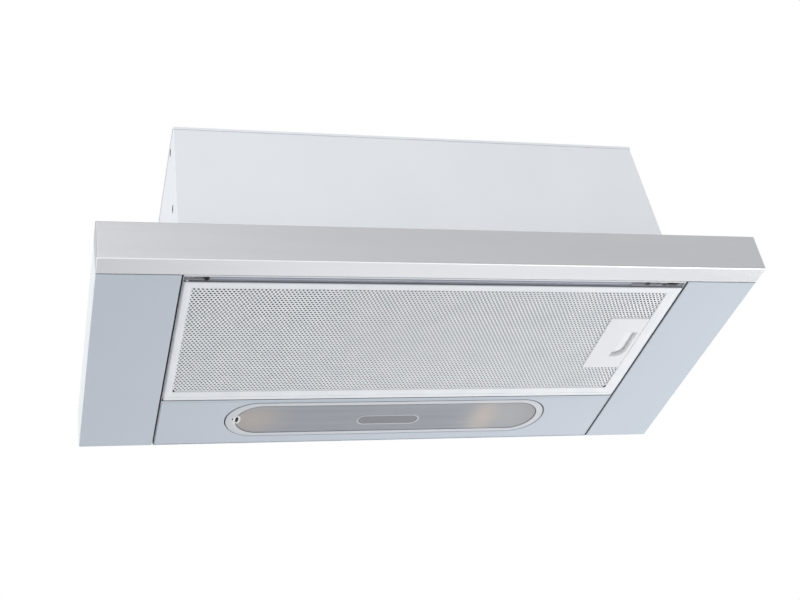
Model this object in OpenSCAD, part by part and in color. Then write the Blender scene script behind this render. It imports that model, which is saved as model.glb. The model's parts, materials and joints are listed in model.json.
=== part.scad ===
// Slim pull out range hood for a 60 cm wall cabinet, millimetres.
// The origin is under the middle of the closed hood, on the plane of its underside:
// +X is the cook's right, +Y goes back to the wall and +Z goes up.
// Inside the modules y is the distance behind the fascia's front face.

/* [Overall] */
// Width of the fascia, the widest piece
fascia_w = 598; // [590:1:606]
// Depth of the closed hood, fascia face to back wall
closed_d = 297; // [290:1:304]
// Height of the motor body's top panel above the underside
body_h = 177; // [174:1:190]
// Thickness of the folded sheet steel
sheet = 0.8; // [0.6:0.1:1.0]

/* [Drawer] */
// Height of the fascia and of the side trays
fascia_h = 38; // [38:1:44]
// Depth of the fascia's underside lip
lip_d = 21; // [19:0.5:21]
// Width of each side tray
tray_w = 69.5; // [66:0.5:74]
// Roller radius of the two drawer slides
roller_r = 7.3; // [6.5:0.1:7.3]

/* [Motor body] */
// How far each side wall leans in between its foot and the top panel
side_lean = 4.4; // [0:0.2:8]
// Distance of the motor body's front wall behind the fascia face
body_front = 35; // [33:1:38]
// Radius of the four fixing holes in each side wall
fixing_r = 4; // [3:0.25:5]
// Distance between the front and the rear fixing holes
fixing_dy = 180; // [140:5:200]
// Distance between the lower and the upper fixing holes
fixing_dz = 66; // [30:1:66]

/* [Grease filter] */
// Depth of the filter, front to back
filter_d = 183.8; // [180:0.1:184]
// Thickness of the filter
filter_t = 8.6; // [8:0.1:9]
// Pitch of the coarse perforation that stands for the punched sheet
hole_pitch = 15.4; // [14:0.2:24]
// Travel of the latch
latch_travel = 6; // [4:0.5:6]

/* [Lamp] */
// Length of the lens
lens_l = 327; // [300:1:330]
// Width of the lens
lens_w = 60; // [56:1:62]
// Radius of the tubular bulbs
bulb_r = 12.5; // [11:0.5:13]

/* [Blower] */
// Outside radius of the impeller
fan_r = 44; // [40:1:45]
// Length of the impeller
fan_l = 140; // [120:2:144]
// Number of forward curved blades
blades = 32; // [20:1:36]
// How much the scroll widens over its whole turn
scroll_growth = 26; // [20:1:27]
// Outside radius of the duct collar
collar_r = 60; // [50:1:62]
// Height of the duct collar above the top panel
collar_h = 30; // [24:1:40]

/* [Hidden] */
$fn = 48;

// Shared clearances
eps = 0.01;                 // overlap of a cutter past the face it cuts
slip = 0.3;                 // air between sliding plastic pieces
pin_play = 0.05;            // radial play of a pin in its hole

// The pan below the motor body, and what stands beside it
pan_x = fascia_w/2 - tray_w - 0.9;      // outside of the pan's side wall
pan_in = pan_x - sheet;                 // inside of the pan's side wall
pan_front = lip_d + 1;                  // front edge of the pan's side walls
gap_back = lip_d + 0.5;                 // back face of the bar behind the fascia
flange = 14;                            // width of the joining flanges
plate_front = 216;                      // front edge of the pan's rear plate
pan_upstand = 10;                       // height of the upstand in front of that plate

// Motor body
foot_x = pan_x + 0.4;                   // half width of the body at its foot
top_x = foot_x - side_lean;             // half width of the body at its top
hem = 3.2;                              // height of the top panel's turned down rim
hem_t = 0.6;                            // its thickness
shell_top = body_h - sheet;
fixing_y = 61;                          // front fixing holes
fixing_z = 102.5;                       // lower fixing holes
joint_x = [-220, 220];                  // screws that join the body to the pan
joint_y = [62, 280];
joint_r = 1.7;                          // clearance hole of those screws
bead_x = [-160, -110, 110];             // stiffening beads of the top panel
bead_y = [body_front + 30, closed_d - 40];
gland = [180, 262];                     // cable gland
gland_r = 8;

// Rail in front of the filter, with the switches in its right end
rail_back = 31;
rail_z = 2;                             // the rail is set back above the underside
rail_top = 9.5;
screw_x = -209;
switch_x0 = 176;                        // left end of the switch housing
switch_x1 = pan_in - 0.3;
switch_roof = 6.5;                      // roof of the recess in which the knobs run
speed_knob = [200, 4, 24];              // left side, width and travel of the speed knob
light_knob = [217, 6, 6];               // the same for the light knob

// Slides
slide_z0 = 12;                          // lower edge of the fixed rail
slide_t = 1.2;
slide_w = 10.8;
slide_inner_h = 16.8;
slide_z1 = slide_z0 + 2*slide_t + slide_inner_h;
roller_z = slide_z0 + slide_t + 0.1 + roller_r;
runner_z = slide_z0 + slide_t + 14.8;   // underside of the runner's flange
rail_roller_y = 46;
runner_roller_y = 275;
axle_r = 2;
roller_w = 7.6;
roller_x = pan_x + 2.8;                 // inner face of the rollers
runner_x = pan_x + slide_w + 1.8;       // inner face of the runner's web
runner_screw_y = [60, 240];
rivet_r = 1.6;                          // thin root of the roller axles

// Grease filter, hinged on two pegs at its left edge
filter_y0 = 31.5;
filter_y1 = filter_y0 + filter_d;
filter_x = pan_in - 0.4;
peg_x = -(filter_x - 2.9);
peg_z = 3;
peg_r = 2;
edge_r = filter_x + peg_x;              // radius of the rolled left edge
border = [7.9, 8.5, 11.9, 13.8];        // left, front, right and rear border
mesh_t = 0.6;
latch_y = [80.5, 163];                  // front and back edge of the latch handle
latch_x = [176.5, 215.2];
recess_x = [197, 212];
recess_y = [103, 144];
recess_top = 5.6;                       // floor of the finger recess at its deep end
recess_r = 9;                           // corner the fingertip pulls at
bolt_y = 122;
bolt_w = 10;
bolt_z = [4.8, 7.2];
notch_w = 16;                           // cut in the right edge over the keeper
keeper_x = filter_x - 4;

// Second filter, carried by the drawer
carrier_x = pan_in - 1.8;               // outside of the carrier's arms
carrier_z = 11;
carrier_h = 18;
carrier_y1 = 206;
second_x = carrier_x - 10.5;
second_y = [23, 199.5];
second_z = 12;
second_t = 7;

// Lamp
lens_y = 253;
lens_c = (lens_l - lens_w)/2;           // centre of each round end
lens_gap = 0.7;
lens_rim = [9.5, 7, 6.5];               // flat rim at the left, at the right and along the sides
lens_axis = [lens_l/2 + 2.5, 2.5];      // x and z of the hooks the lens hangs on
lens_screw_x = -154;
tray_box = [lens_l/2 + 8.5, 33.5];      // half length and half width of the lamp tray
tray_top = 37;
bulb_z = 21.5;

// Blower
fan_y = 114;
fan_z = 111;
fan_gap = 4;                            // impeller to scroll at the tongue
volute_x = fan_l/2 + 6;                 // half width of the blower housing
wall = 2;
tongue_a = 60;                          // angle of the tongue, 0 is the back
blade_in = fan_r - 8;
inlet_r = fan_r - 8;
mouth_y = [fan_y + 8, fan_y + 96];      // the mouth's front and back edge at the top panel
shaft_r = 4;
motor_r = 30;
motor_x0 = -126;
motor_x1 = -82;
mount_r = 46;                           // circle of the motor bracket's three legs
foot_hole_r = 1.8;

// Terminal box on the back wall, opposite corners
box_low = [130, 252, 66];
box_high = [206, closed_d - sheet, 118];
box_wall = 2;
capacitor_y = 274;
capacitor_z = 92;

// Duct collar with its two flaps
collar_y = 166;
collar_in = collar_r - 2;
collar_base = 2.5;
flap_z = body_h + 8;
flap_pin_r = 1.5;
flap_edge = 4.5;                        // distance of a flap's straight edge from the pin
flap_t = 1.2;

// Moves what is drawn at a distance behind the fascia into the hood's frame.
module placed() {
    translate([0, -closed_d/2, 0]) children();
}

// A block between two opposite corners.
module block(low, high) {
    translate(low) cube(high - low);
}

// A profile drawn in x and z, carried back from y0 to y1.
module along_y(y0, y1) {
    translate([0, y1, 0]) rotate([90, 0, 0]) linear_extrude(y1 - y0) children();
}

// A profile drawn in y and z, carried right from x0 to x1.
module along_x(x0, x1) {
    translate([x0, 0, 0]) rotate([90, 0, 90]) linear_extrude(x1 - x0) children();
}

// A straight pin along Y or X, centred on the given x, z or y, z.
module pin_y(x, z, y0, y1, r) {
    translate([x, y1, z]) rotate([90, 0, 0]) cylinder(h = y1 - y0, r = r);
}

module pin_x(y, z, x0, x1, r) {
    translate([x0, y, z]) rotate([0, 90, 0]) cylinder(h = x1 - x0, r = r);
}

// The hood's pieces in pairs: what is drawn on the right, at the left.
module at_left() {
    mirror([1, 0, 0]) children();
}

module both_sides() {
    children();
    at_left() children();
}

// The outline of the motor body seen from the front, drawn in by t at its sides.
module body_outline(t, z0, z1) {
    lean = side_lean/(body_h - fascia_h);
    x0 = foot_x - t - lean*(z0 - fascia_h);
    x1 = foot_x - t - lean*(z1 - fascia_h);
    polygon([[-x0, z0], [x0, z0], [x1, z1], [-x1, z1]]);
}

// A stadium of the lens's length, drawn in or out by grow.
module stadium(grow, stretch = 0) {
    r = lens_w/2 + grow;
    c = lens_c + stretch;
    translate([-c, lens_y]) circle(r);
    translate([c, lens_y]) circle(r);
    translate([-c, lens_y - r]) square([2*c, 2*r]);
}

// A pan head screw that points up, its head's lower face at the origin.
module screw(head_r, head_h, shank_r, length) {
    difference() {
        cylinder(h = head_h, r = head_r);
        translate([0, 0, -eps]) cylinder(h = head_h*0.6, r = head_r*0.45, $fn = 6);
    }
    translate([0, 0, head_h]) cylinder(h = length, r = shank_r);
}

// ---- Motor body ----

module body_shell() {
    color("gainsboro") placed() difference() {
        union() {
            difference() {
                along_y(body_front, closed_d) body_outline(0, fascia_h, shell_top);
                along_y(body_front + sheet, closed_d - sheet)
                    body_outline(sheet, fascia_h - 1, body_h + 1);
            }
            // Joining flange round the foot
            difference() {
                block([-foot_x + eps, body_front + eps, fascia_h],
                      [foot_x - eps, closed_d - eps, fascia_h + sheet]);
                block([-foot_x + flange, body_front + flange, fascia_h - 1],
                      [foot_x - flange, closed_d - flange, fascia_h + sheet + 1]);
            }
        }
        // Fixing holes into the cabinet's sides
        for (y = [fixing_y, fixing_y + fixing_dy], z = [fixing_z, fixing_z + fixing_dz])
            pin_x(y, z, -foot_x - 1, foot_x + 1, fixing_r);
        for (x = joint_x, y = joint_y)
            translate([x, y, fascia_h - 1]) cylinder(h = 3, r = joint_r);
    }
}

// The places of the collar's four screws.
module collar_holes() {
    for (a = [45:90:315])
        translate([(collar_r + 8)*cos(a), collar_y + (collar_r + 8)*sin(a), 0]) children();
}

module top_panel() {
    over = top_x + 0.03;        // half width inside the turned down rim
    color("gainsboro") placed() difference() {
        union() {
            block([-over - hem_t, body_front - hem_t, shell_top],
                  [over + hem_t, closed_d, body_h]);
            // Turned down rim at the front and the sides
            difference() {
                block([-over - hem_t, body_front - hem_t, body_h - hem],
                      [over + hem_t, closed_d, body_h]);
                block([-over - 0.07, body_front, body_h - hem - 1],
                      [over + 0.07, closed_d + 1, body_h - eps]);
            }
            // Pressed stiffening beads
            for (x = bead_x) {
                pin_y(x, body_h - 1.5, bead_y[0], bead_y[1], 4);
                for (y = bead_y) translate([x, y, body_h - 1.5]) sphere(4);
            }
        }
        // The beads show above the panel only
        for (x = bead_x)
            block([x - 5, bead_y[0] - 10, body_h - 8], [x + 5, bead_y[1] + 10, shell_top]);
        translate([0, collar_y, shell_top - 1]) cylinder(h = 4, r = collar_in, $fn = 96);
        collar_holes() translate([0, 0, shell_top - 1]) cylinder(h = 4, r = 1.9);
        translate([gland[0], gland[1], shell_top - 1]) cylinder(h = 4, r = gland_r + 0.2);
    }
}

module underside_pan() {
    color("lightsteelblue") placed() difference() {
        union() {
            // Rear plate with the upstand that closes the filter's bay
            block([-pan_x, plate_front, 0], [pan_x, closed_d, sheet]);
            block([-pan_x, plate_front, 0], [pan_x, plate_front + sheet, pan_upstand]);
            // Side walls and back wall
            both_sides() block([pan_in, pan_front, 0], [pan_x, closed_d, fascia_h]);
            block([-pan_x, closed_d - sheet, 0], [pan_x, closed_d, fascia_h]);
            // Joining flange under the motor body
            both_sides() block([pan_x - flange, body_front, fascia_h - sheet],
                               [pan_x, closed_d, fascia_h]);
            block([-pan_x, closed_d - flange, fascia_h - sheet], [pan_x, closed_d, fascia_h]);
            // Turned up edge round the lens
            linear_extrude(6) stadium(lens_gap + sheet, 0.4);
            // Ears that carry the lens's hooks
            for (y = [lens_y - 10, lens_y + 7])
                block([lens_l/2 + 1.5, y, 0], [lens_axis[0] + 2.5, y + 3, 6]);
        }
        translate([0, 0, -1]) linear_extrude(8) stadium(lens_gap, 0.4);
        block([lens_l/2 - 2, lens_y - 6.8, sheet], [lens_axis[0] + 4, lens_y + 6.8, 7]);
        pin_y(lens_axis[0], lens_axis[1], lens_y - 12, lens_y + 12, 1.2 + pin_play);
        pin_y(peg_x, peg_z, plate_front - 1, plate_front + 2, peg_r + pin_play);
        for (x = joint_x, y = joint_y)
            translate([x, y, fascia_h - 2]) cylinder(h = 4, r = joint_r);
    }
}

module front_rail() {
    color("slategray") placed() difference() {
        along_x(-pan_in, pan_in) polygon([
            [pan_front, rail_z], [rail_back, rail_z], [rail_back, rail_top],
            [rail_back - sheet, rail_top], [rail_back - sheet, rail_z + sheet],
            [pan_front + sheet, rail_z + sheet], [pan_front + sheet, rail_top],
            [pan_front, rail_top]]);
        block([switch_x0 - slip, pan_front - 1, 0], [pan_x, rail_back - sheet, rail_top + 1]);
        pin_y(peg_x, peg_z, rail_back - 2, rail_back + 1, peg_r + pin_play);
        block([peg_x - 4, pan_front - 1, rail_z - 1], [peg_x + 4, rail_back - sheet, rail_z + sheet]);
        translate([screw_x, (pan_front + rail_back)/2, 0]) cylinder(h = 5, r = 1.7);
    }
}

module rail_screw() {
    color("black") placed() translate([screw_x, (pan_front + rail_back)/2, rail_z - 1.4])
        screw(2.4, 1.4, 1.5, 7);
}

// Recess and guide slot of one switch knob, from its left side, width and travel.
module knob_track(knob, play) {
    x0 = knob[0] - knob[2] - play;
    x1 = knob[0] + knob[1] + play;
    block([x0, pan_front - 1, rail_z - 1], [x1, 27.5 + play, switch_roof]);
    block([x0 + 1, 24.2 - play/2, switch_roof - 1], [x1 - 1, 25.8 + play/2, rail_top + 1]);
}

module switch_housing() {
    color("silver") placed() difference() {
        block([switch_x0, pan_front, rail_z + 0.4], [switch_x1, rail_back - sheet, rail_top - 0.1]);
        knob_track(speed_knob, slip);
        knob_track(light_knob, slip);
    }
}

// A knob with its stem through the roof of the recess and a foot that rides on it.
module knob(k) {
    block([k[0], lip_d + 0.8, rail_z + 0.6], [k[0] + k[1], 27.4, switch_roof - 0.2]);
    for (x = [k[0] + 1.5, k[0] + k[1] - 1.5])
        block([x - 0.3, lip_d + 0.8, rail_z + 0.2], [x + 0.3, 27.4, rail_z + 0.7]);
    block([k[0] + 1, 24.2, switch_roof - 0.3], [k[0] + k[1] - 1, 25.8, rail_top + 0.2]);
    block([k[0] + 0.6, 23.2, rail_top], [k[0] + k[1] - 0.6, 26.8, rail_top + 0.6]);
}

module speed_slider() {
    color("black") placed() knob(speed_knob);
}

module light_slider() {
    color("black") placed() knob(light_knob);
}

// A sheet tongue on the pan's wall, bent level, under the filter's bolt.
module latch_keeper() {
    color("silver") placed() difference() {
        along_y(bolt_y - 6, bolt_y + 6) polygon([
            [keeper_x, 3.2], [pan_in, 3.2], [pan_in, 12], [pan_in - 1.2, 12],
            [pan_in - 1.2, 4.4], [keeper_x, 4.4]]);
        block([pan_in - 2.5, bolt_y - 5.5, 4.4], [pan_in - 1.1, bolt_y + 5.5, 8]);
    }
}

module body_screws() {
    color("dimgray") placed() for (x = joint_x, y = joint_y)
        translate([x, y, fascia_h - sheet - 1.4]) screw(3.2, 1.4, 1.5, 5);
}

// ---- Drawer slides ----

// Fixed rail: a C open to the outside, with its front roller's axle hole.
module slide_rail() {
    placed() difference() {
        along_y(34, 290) polygon([
            [pan_x, slide_z0], [pan_x + slide_w, slide_z0],
            [pan_x + slide_w, slide_z0 + slide_t], [pan_x + slide_t, slide_z0 + slide_t],
            [pan_x + slide_t, slide_z1 - slide_t], [pan_x + slide_w, slide_z1 - slide_t],
            [pan_x + slide_w, slide_z1], [pan_x, slide_z1]]);
        for (y = [rail_roller_y, 90, 160, 230]) pin_x(y, roller_z, pan_x - 1, pan_x + 3, rivet_r);
    }
}

module slide_rail_left() {
    color("silver") at_left() slide_rail();
}

module slide_rail_right() {
    color("silver") slide_rail();
}

// Axle with a riveted root of its own and a head at its free end.
module axle(root_x, far_x, head_x, y) {
    pin_x(y, roller_z, min(root_x, far_x), max(root_x, far_x), axle_r);
    pin_x(y, roller_z, min(head_x, far_x), max(head_x, far_x), 3.2);
}

module rail_axles() {
    color("gray") placed() both_sides() {
        axle(pan_x + slide_t, roller_x + roller_w + 1, roller_x + roller_w + 0.2, rail_roller_y);
        pin_x(rail_roller_y, roller_z, pan_x, pan_x + slide_t, rivet_r);
    }
}

// Nylon roller with a proud rim and a dished face.
module roller(y) {
    placed() translate([roller_x, y, roller_z]) rotate([0, 90, 0]) rotate_extrude()
        polygon([
            [axle_r + pin_play, 0], [4, 0], [4, 1], [roller_r - 1.6, 1], [roller_r - 1.6, 0],
            [roller_r - 0.4, 0], [roller_r, 0.4], [roller_r, roller_w - 0.4],
            [roller_r - 0.4, roller_w], [roller_r - 1.6, roller_w], [roller_r - 1.6, roller_w - 1],
            [4, roller_w - 1], [4, roller_w], [axle_r + pin_play, roller_w]]);
}

module rail_roller_left() {
    color("white") at_left() roller(rail_roller_y);
}

module rail_roller_right() {
    color("white") roller(rail_roller_y);
}

// Runner: flange over the rail's roller, web down to the tray, foot on the tray's floor.
module runner() {
    placed() difference() {
        along_y(gap_back, 285) polygon([
            [runner_x, sheet], [runner_x + flange, sheet], [runner_x + flange, sheet + slide_t],
            [runner_x + slide_t, sheet + slide_t], [runner_x + slide_t, runner_z + slide_t],
            [pan_x + 2.4, runner_z + slide_t], [pan_x + 2.4, runner_z], [runner_x, runner_z]]);
        pin_x(runner_roller_y, roller_z, runner_x - 1, runner_x + 3, rivet_r);
        for (y = runner_screw_y)
            translate([runner_x + 9, y, 0]) cylinder(h = 5, r = 1.5);
        // The flange starts behind the fascia bar's end
        block([pan_x, gap_back - 1, runner_z - 1], [runner_x - eps, 24, runner_z + 3]);
    }
}

module runner_left() {
    color("silver") at_left() runner();
}

module runner_right() {
    color("silver") runner();
}

module runner_axles() {
    color("gray") placed() both_sides() {
        axle(runner_x, roller_x - 0.8, roller_x - 0.2, runner_roller_y);
        pin_x(runner_roller_y, roller_z, runner_x, runner_x + slide_t, rivet_r);
    }
}

module runner_roller_left() {
    color("white") at_left() roller(runner_roller_y);
}

module runner_roller_right() {
    color("white") roller(runner_roller_y);
}

// ---- Blower ----

// Scroll radius at an angle, from the tongue round to the back.
function scroll_r(a) = fan_r + fan_gap + scroll_growth*(a - tongue_a)/(360 - tongue_a);

// The scroll with its mouth at the top panel, drawn out by t and ending at height top.
// Outside the housing the notch beside the tongue is filled.
module scroll_outline(t, top = shell_top) {
    first = t > 0 ? tongue_a + 30 : tongue_a;
    polygon(concat(
        [for (a = [first:10:360]) [fan_y + (scroll_r(a) + t)*cos(a),
                                   fan_z + (scroll_r(a) + t)*sin(a)]],
        [[mouth_y[1] - 6 + t, shell_top - 22], [mouth_y[1] + t, top], [mouth_y[0] - t, top]],
        t > 0 ? [] : [[mouth_y[0] + 6, shell_top - 12]]));
}

// One half of the blower housing, from the middle out to its inlet wall.
module volute_half() {
    difference() {
        union() {
            along_x(0, volute_x) scroll_outline(wall);
            // Clip flange at the split
            along_x(0, 3) intersection() {
                scroll_outline(wall + 3.5);
                translate([0, 43]) square([400, shell_top - 43]);
            }
            // Bellmouth ring
            pin_x(fan_y, fan_z, volute_x - 1, volute_x + 4, inlet_r + 4);
            // Feet of the motor bracket and of the guard
            blower_feet(volute_x - 1, volute_x + 2, 5);
        }
        along_x(-1, volute_x - wall) scroll_outline(0, shell_top + 1);
        // Inlet with a rounded mouth
        translate([volute_x + 4, fan_y, fan_z]) rotate([0, 90, 0]) rotate_extrude()
            difference() {
                translate([0, -8]) square([inlet_r + 4.5, 9]);
                translate([inlet_r + 4, -4]) circle(4);
                translate([inlet_r, -9]) square([5, 5.1]);
            }
        blower_feet(volute_x - 4, volute_x + 3, foot_hole_r);
    }
}

module volute_left() {
    color("dimgray") placed() at_left() volute_half();
}

module volute_right() {
    color("dimgray") placed() volute_half();
}

// The three feet of the motor bracket and of the guard, as pins along X.
module blower_feet(x0, x1, r) {
    for (a = [90, 210, 330])
        pin_x(fan_y + mount_r*cos(a), fan_z + mount_r*sin(a), x0, x1, r);
}

// Finger guard over the open inlet: three rings on six spokes and three feet.
module inlet_guard() {
    x0 = volute_x + 5;
    color("black") placed() difference() {
        union() {
            for (r = [12, 24, inlet_r + 2])
                difference() {
                    pin_x(fan_y, fan_z, x0, x0 + 2, r + 1.2);
                    pin_x(fan_y, fan_z, x0 - 1, x0 + 3, r - 1.2);
                }
            for (a = [30:60:330])
                translate([x0, fan_y, fan_z]) rotate([a, 0, 0])
                    block([0, 11, -1], [2, inlet_r + 2, 1]);
            blower_feet(volute_x + 2, x0 + 2, 4.5);
            for (a = [90, 210, 330])
                translate([x0, fan_y, fan_z]) rotate([a, 0, 0])
                    block([0, inlet_r + 2, -3], [2, mount_r, 3]);
        }
        blower_feet(volute_x, x0 + 3, foot_hole_r);
    }
}

// Centre line point of a forward curved blade, s from 0 inside to 1 outside.
function blade_point(s, side) =
    let (r = blade_in + s*(fan_r - blade_in),
         a = (26*s*s - 12*s) + side*atan(0.45/r))
    [r*cos(a), r*sin(a)];

module blade_outline() {
    steps = 4;
    polygon(concat(
        [for (i = [0:steps]) blade_point(i/steps, -1)],
        [for (i = [steps:-1:0]) blade_point(i/steps, 1)]));
}

// Double inlet impeller: a middle disc, two end rings and the blades between them.
module impeller() {
    half = fan_l/2;
    color("silver") placed() translate([0, fan_y, fan_z]) difference() {
        union() {
            along_x(-half + 1, half - 1) for (i = [0:blades - 1])
                rotate([0, 0, i*360/blades]) blade_outline();
            for (x = [-half, -1.2, half - 2.4])
                difference() {
                    pin_x(0, 0, x, x + 2.4, fan_r + 0.6);
                    if (abs(x) > 5) pin_x(0, 0, x - 1, x + 4, blade_in + 1);
                }
            pin_x(0, 0, -12, 12, 10);
        }
        pin_x(0, 0, -half, half, shaft_r);
        for (a = [0:60:300])
            pin_x(24*cos(a), 24*sin(a), -5, 5, 6);
    }
}

module impeller_shaft() {
    color("lightgray") placed() pin_x(fan_y, fan_z, motor_x0 + 6, 14, shaft_r);
}

// Motor: laminated stack between two end bells, bored for the shaft.
module motor() {
    color("gray") placed() difference() {
        union() {
            pin_x(fan_y, fan_z, motor_x0 + 8, motor_x1 - 8, motor_r + 4);
            pin_x(fan_y, fan_z, motor_x0 + 3, motor_x1 - 3, motor_r);
            pin_x(fan_y, fan_z, motor_x0, motor_x1, 12);
        }
        pin_x(fan_y, fan_z, motor_x0 + 5, motor_x1 + 1, shaft_r + pin_play);
        // Cooling slots in the end bells
        for (a = [0:45:315]) translate([0, fan_y, fan_z]) rotate([a, 0, 0]) {
            block([motor_x0 + 2, 16, -2], [motor_x0 + 7, 26, 2]);
            block([motor_x1 - 7, 16, -2], [motor_x1 - 2, 26, 2]);
        }
    }
}

// Three arms from a band round the motor to the blower's side wall.
module motor_bracket() {
    band = [motor_x0 + 14, motor_x1 - 14];
    leg_x = -volute_x - 6;
    color("silver") placed() difference() {
        union() {
            pin_x(fan_y, fan_z, band[0], band[1], motor_r + 6);
            for (a = [90, 210, 330]) translate([0, fan_y, fan_z]) rotate([a, 0, 0]) {
                block([band[0] + 2, motor_r + 5, -5], [band[0] + 4, mount_r + 6, 5]);
                block([band[0] + 2, mount_r + 4, -5], [leg_x, mount_r + 6, 5]);
                block([leg_x - 2, mount_r - 6, -5], [leg_x, mount_r + 6, 5]);
            }
        }
        pin_x(fan_y, fan_z, band[0] - 1, band[1] + 1, motor_r + 4);
        blower_feet(leg_x - 3, leg_x + 1, foot_hole_r);
    }
}

module motor_grommets() {
    color("black") placed() difference() {
        blower_feet(-volute_x - 6, -volute_x - 2, 4.6);
        blower_feet(-volute_x - 7, -volute_x - 1, foot_hole_r);
    }
}

// Screws of the motor bracket at the left and of the guard at the right.
module blower_screws() {
    color("dimgray") placed() for (a = [90, 210, 330]) {
        y = fan_y + mount_r*cos(a);
        z = fan_z + mount_r*sin(a);
        translate([-volute_x - 9.5, y, z]) rotate([0, 90, 0]) screw(3, 1.5, 1.5, 9);
        translate([volute_x + 8.5, y, z]) rotate([0, -90, 0]) screw(3, 1.5, 1.5, 8);
    }
}

// ---- Duct outlet ----

module outlet_collar() {
    color("dimgray") placed() translate([0, collar_y, 0]) difference() {
        union() {
            translate([0, 0, body_h]) cylinder(h = collar_base, r = collar_r + 14, $fn = 96);
            translate([0, 0, body_h]) cylinder(h = collar_h, r = collar_r, $fn = 96);
        }
        difference() {
            translate([0, 0, body_h - 1]) cylinder(h = collar_h + 2, r = collar_in, $fn = 96);
            // Ledge on which the closed flaps lie
            difference() {
                translate([0, 0, flap_z - 2.8]) cylinder(h = 2, r = collar_in + 1, $fn = 96);
                translate([0, 0, flap_z - 4]) cylinder(h = 4, r = collar_in - 3.5, $fn = 96);
            }
            // Bosses of the flaps' pin
            both_sides() block([collar_in - 3, -3, flap_z - 3], [collar_in + 1, 3, flap_z + 3]);
        }
        pin_x(0, flap_z, -collar_in, collar_in, flap_pin_r);
        translate([0, -collar_y, body_h - 1]) collar_holes() cylinder(h = 5, r = 1.9);
    }
}

module collar_screws() {
    color("dimgray") placed() collar_holes()
        translate([0, 0, body_h + collar_base + 1.6]) mirror([0, 0, 1])
            screw(3.4, 1.6, 1.5, collar_base + sheet);
}

module flap_pin() {
    color("silver") placed() pin_x(collar_y, flap_z, -collar_in, collar_in, flap_pin_r);
}

// One half disc flap in front of the pin, with a knuckle round it at each given x.
module flap(knuckles) {
    difference() {
        union() {
            intersection() {
                translate([0, 0, flap_z - flap_t/2])
                    cylinder(h = flap_t, r = collar_in - 0.6, $fn = 96);
                block([-collar_in, -collar_in, flap_z - flap_t],
                      [collar_in, -flap_edge, flap_z + flap_t]);
            }
            for (x = knuckles) {
                pin_x(0, flap_z, x - 7, x + 7, 2.9);
                block([x - 7, -flap_edge - 1, flap_z - flap_t/2], [x + 7, 0, flap_z + flap_t/2]);
            }
            // Stiffening rib
            block([-40, -16, flap_z], [40, -15, flap_z + 2.4]);
        }
        pin_x(0, flap_z, -collar_in, collar_in, flap_pin_r + pin_play);
    }
}

module front_flap() {
    color("gray") placed() translate([0, collar_y, 0]) flap([-33, 9]);
}

module rear_flap() {
    color("gray") placed() translate([0, collar_y, 0]) rotate([0, 0, 180]) flap([-33, 9]);
}

// ---- Electrics ----

module terminal_box() {
    color("ivory") placed() difference() {
        block(box_low, box_high);
        block(box_low + [box_wall, -1, box_wall], box_high - [box_wall, box_wall, box_wall]);
        pin_x(capacitor_y, capacitor_z, box_low[0] - 2, box_low[0] + 4, 6);
    }
}

module terminal_cover() {
    // The lid's ribs stand inside the box's walls
    rib_x = [box_low[0] + box_wall + 0.4, box_high[0] - box_wall - 0.4];
    color("ivory") placed() {
        block([box_low[0], box_low[1] - 2, box_low[2]], [box_high[0], box_low[1], box_high[2]]);
        for (z = [box_low[2] + box_wall + 0.4, box_high[2] - box_wall - 2])
            block([rib_x[0], box_low[1], z], [rib_x[1], box_low[1] + 3, z + 1.6]);
    }
}

module capacitor() {
    color("lightgray") placed() {
        pin_x(capacitor_y, capacitor_z, 72, 124, 15);
        pin_x(capacitor_y, capacitor_z, 124, box_low[0], 8);
    }
}

module cable_gland() {
    color("black") placed() translate([gland[0], gland[1], 0]) difference() {
        union() {
            translate([0, 0, body_h]) cylinder(h = 4, r = 12, $fn = 6);
            translate([0, 0, body_h]) cylinder(h = 11, r = 8.6);
            translate([0, 0, shell_top - 4]) cylinder(h = 12, r = gland_r);
            translate([0, 0, shell_top - 4]) cylinder(h = 4, r = 11, $fn = 6);
        }
        translate([0, 0, shell_top - 5]) cylinder(h = 20, r = 4);
    }
}

// ---- Lamp ----

module lamp_tray() {
    roof_z = tray_top - sheet;
    color("white") placed() difference() {
        union() {
            difference() {
                block([-tray_box[0], lens_y - tray_box[1], sheet],
                      [tray_box[0], lens_y + tray_box[1], roof_z]);
                block([-tray_box[0] + sheet, lens_y - tray_box[1] + sheet, 0],
                      [tray_box[0] - sheet, lens_y + tray_box[1] - sheet, roof_z + 1]);
            }
            // Tab that takes the lens's screw
            block([-tray_box[0], lens_y - 6, 7.6], [lens_screw_x + 6, lens_y + 6, 8.6]);
        }
        translate([lens_screw_x, lens_y, 7]) cylinder(h = 3, r = 1.9);
    }
}

// Flat cover of the tray, with vent slots over the bulbs.
module lamp_roof() {
    color("white") placed() difference() {
        block([-tray_box[0], lens_y - tray_box[1], tray_top - sheet],
              [tray_box[0], lens_y + tray_box[1], tray_top]);
        for (x = [-120:20:120])
            block([x - 2, lens_y - 20, tray_top - 2], [x + 2, lens_y + 20, tray_top + 1]);
    }
}

module lamp_holders() {
    color("white") placed() both_sides() difference() {
        union() {
            pin_x(lens_y, bulb_z, 146, tray_box[0] - sheet, 11.6);
            block([tray_box[0] - sheet - 4, lens_y - 14, bulb_z - 9],
                  [tray_box[0] - sheet, lens_y + 14, bulb_z + 14]);
        }
        pin_x(lens_y, bulb_z, 145, 166, 7.2);
    }
}

// Tubular bulb: glass, neck and metal cap as one turned solid.
module bulb() {
    translate([158, lens_y, bulb_z]) rotate([0, -90, 0]) rotate_extrude() {
        polygon([
            [0, -4], [4, -4], [7, -1], [7, 18], [8, 22], [bulb_r, 30], [bulb_r, 76],
            [0, 76]]);
        intersection() {
            translate([0, 76]) circle(bulb_r);
            translate([0, 75]) square([bulb_r, bulb_r + 1]);
        }
    }
}

module bulb_left() {
    color("lightyellow") placed() at_left() bulb();
}

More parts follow.
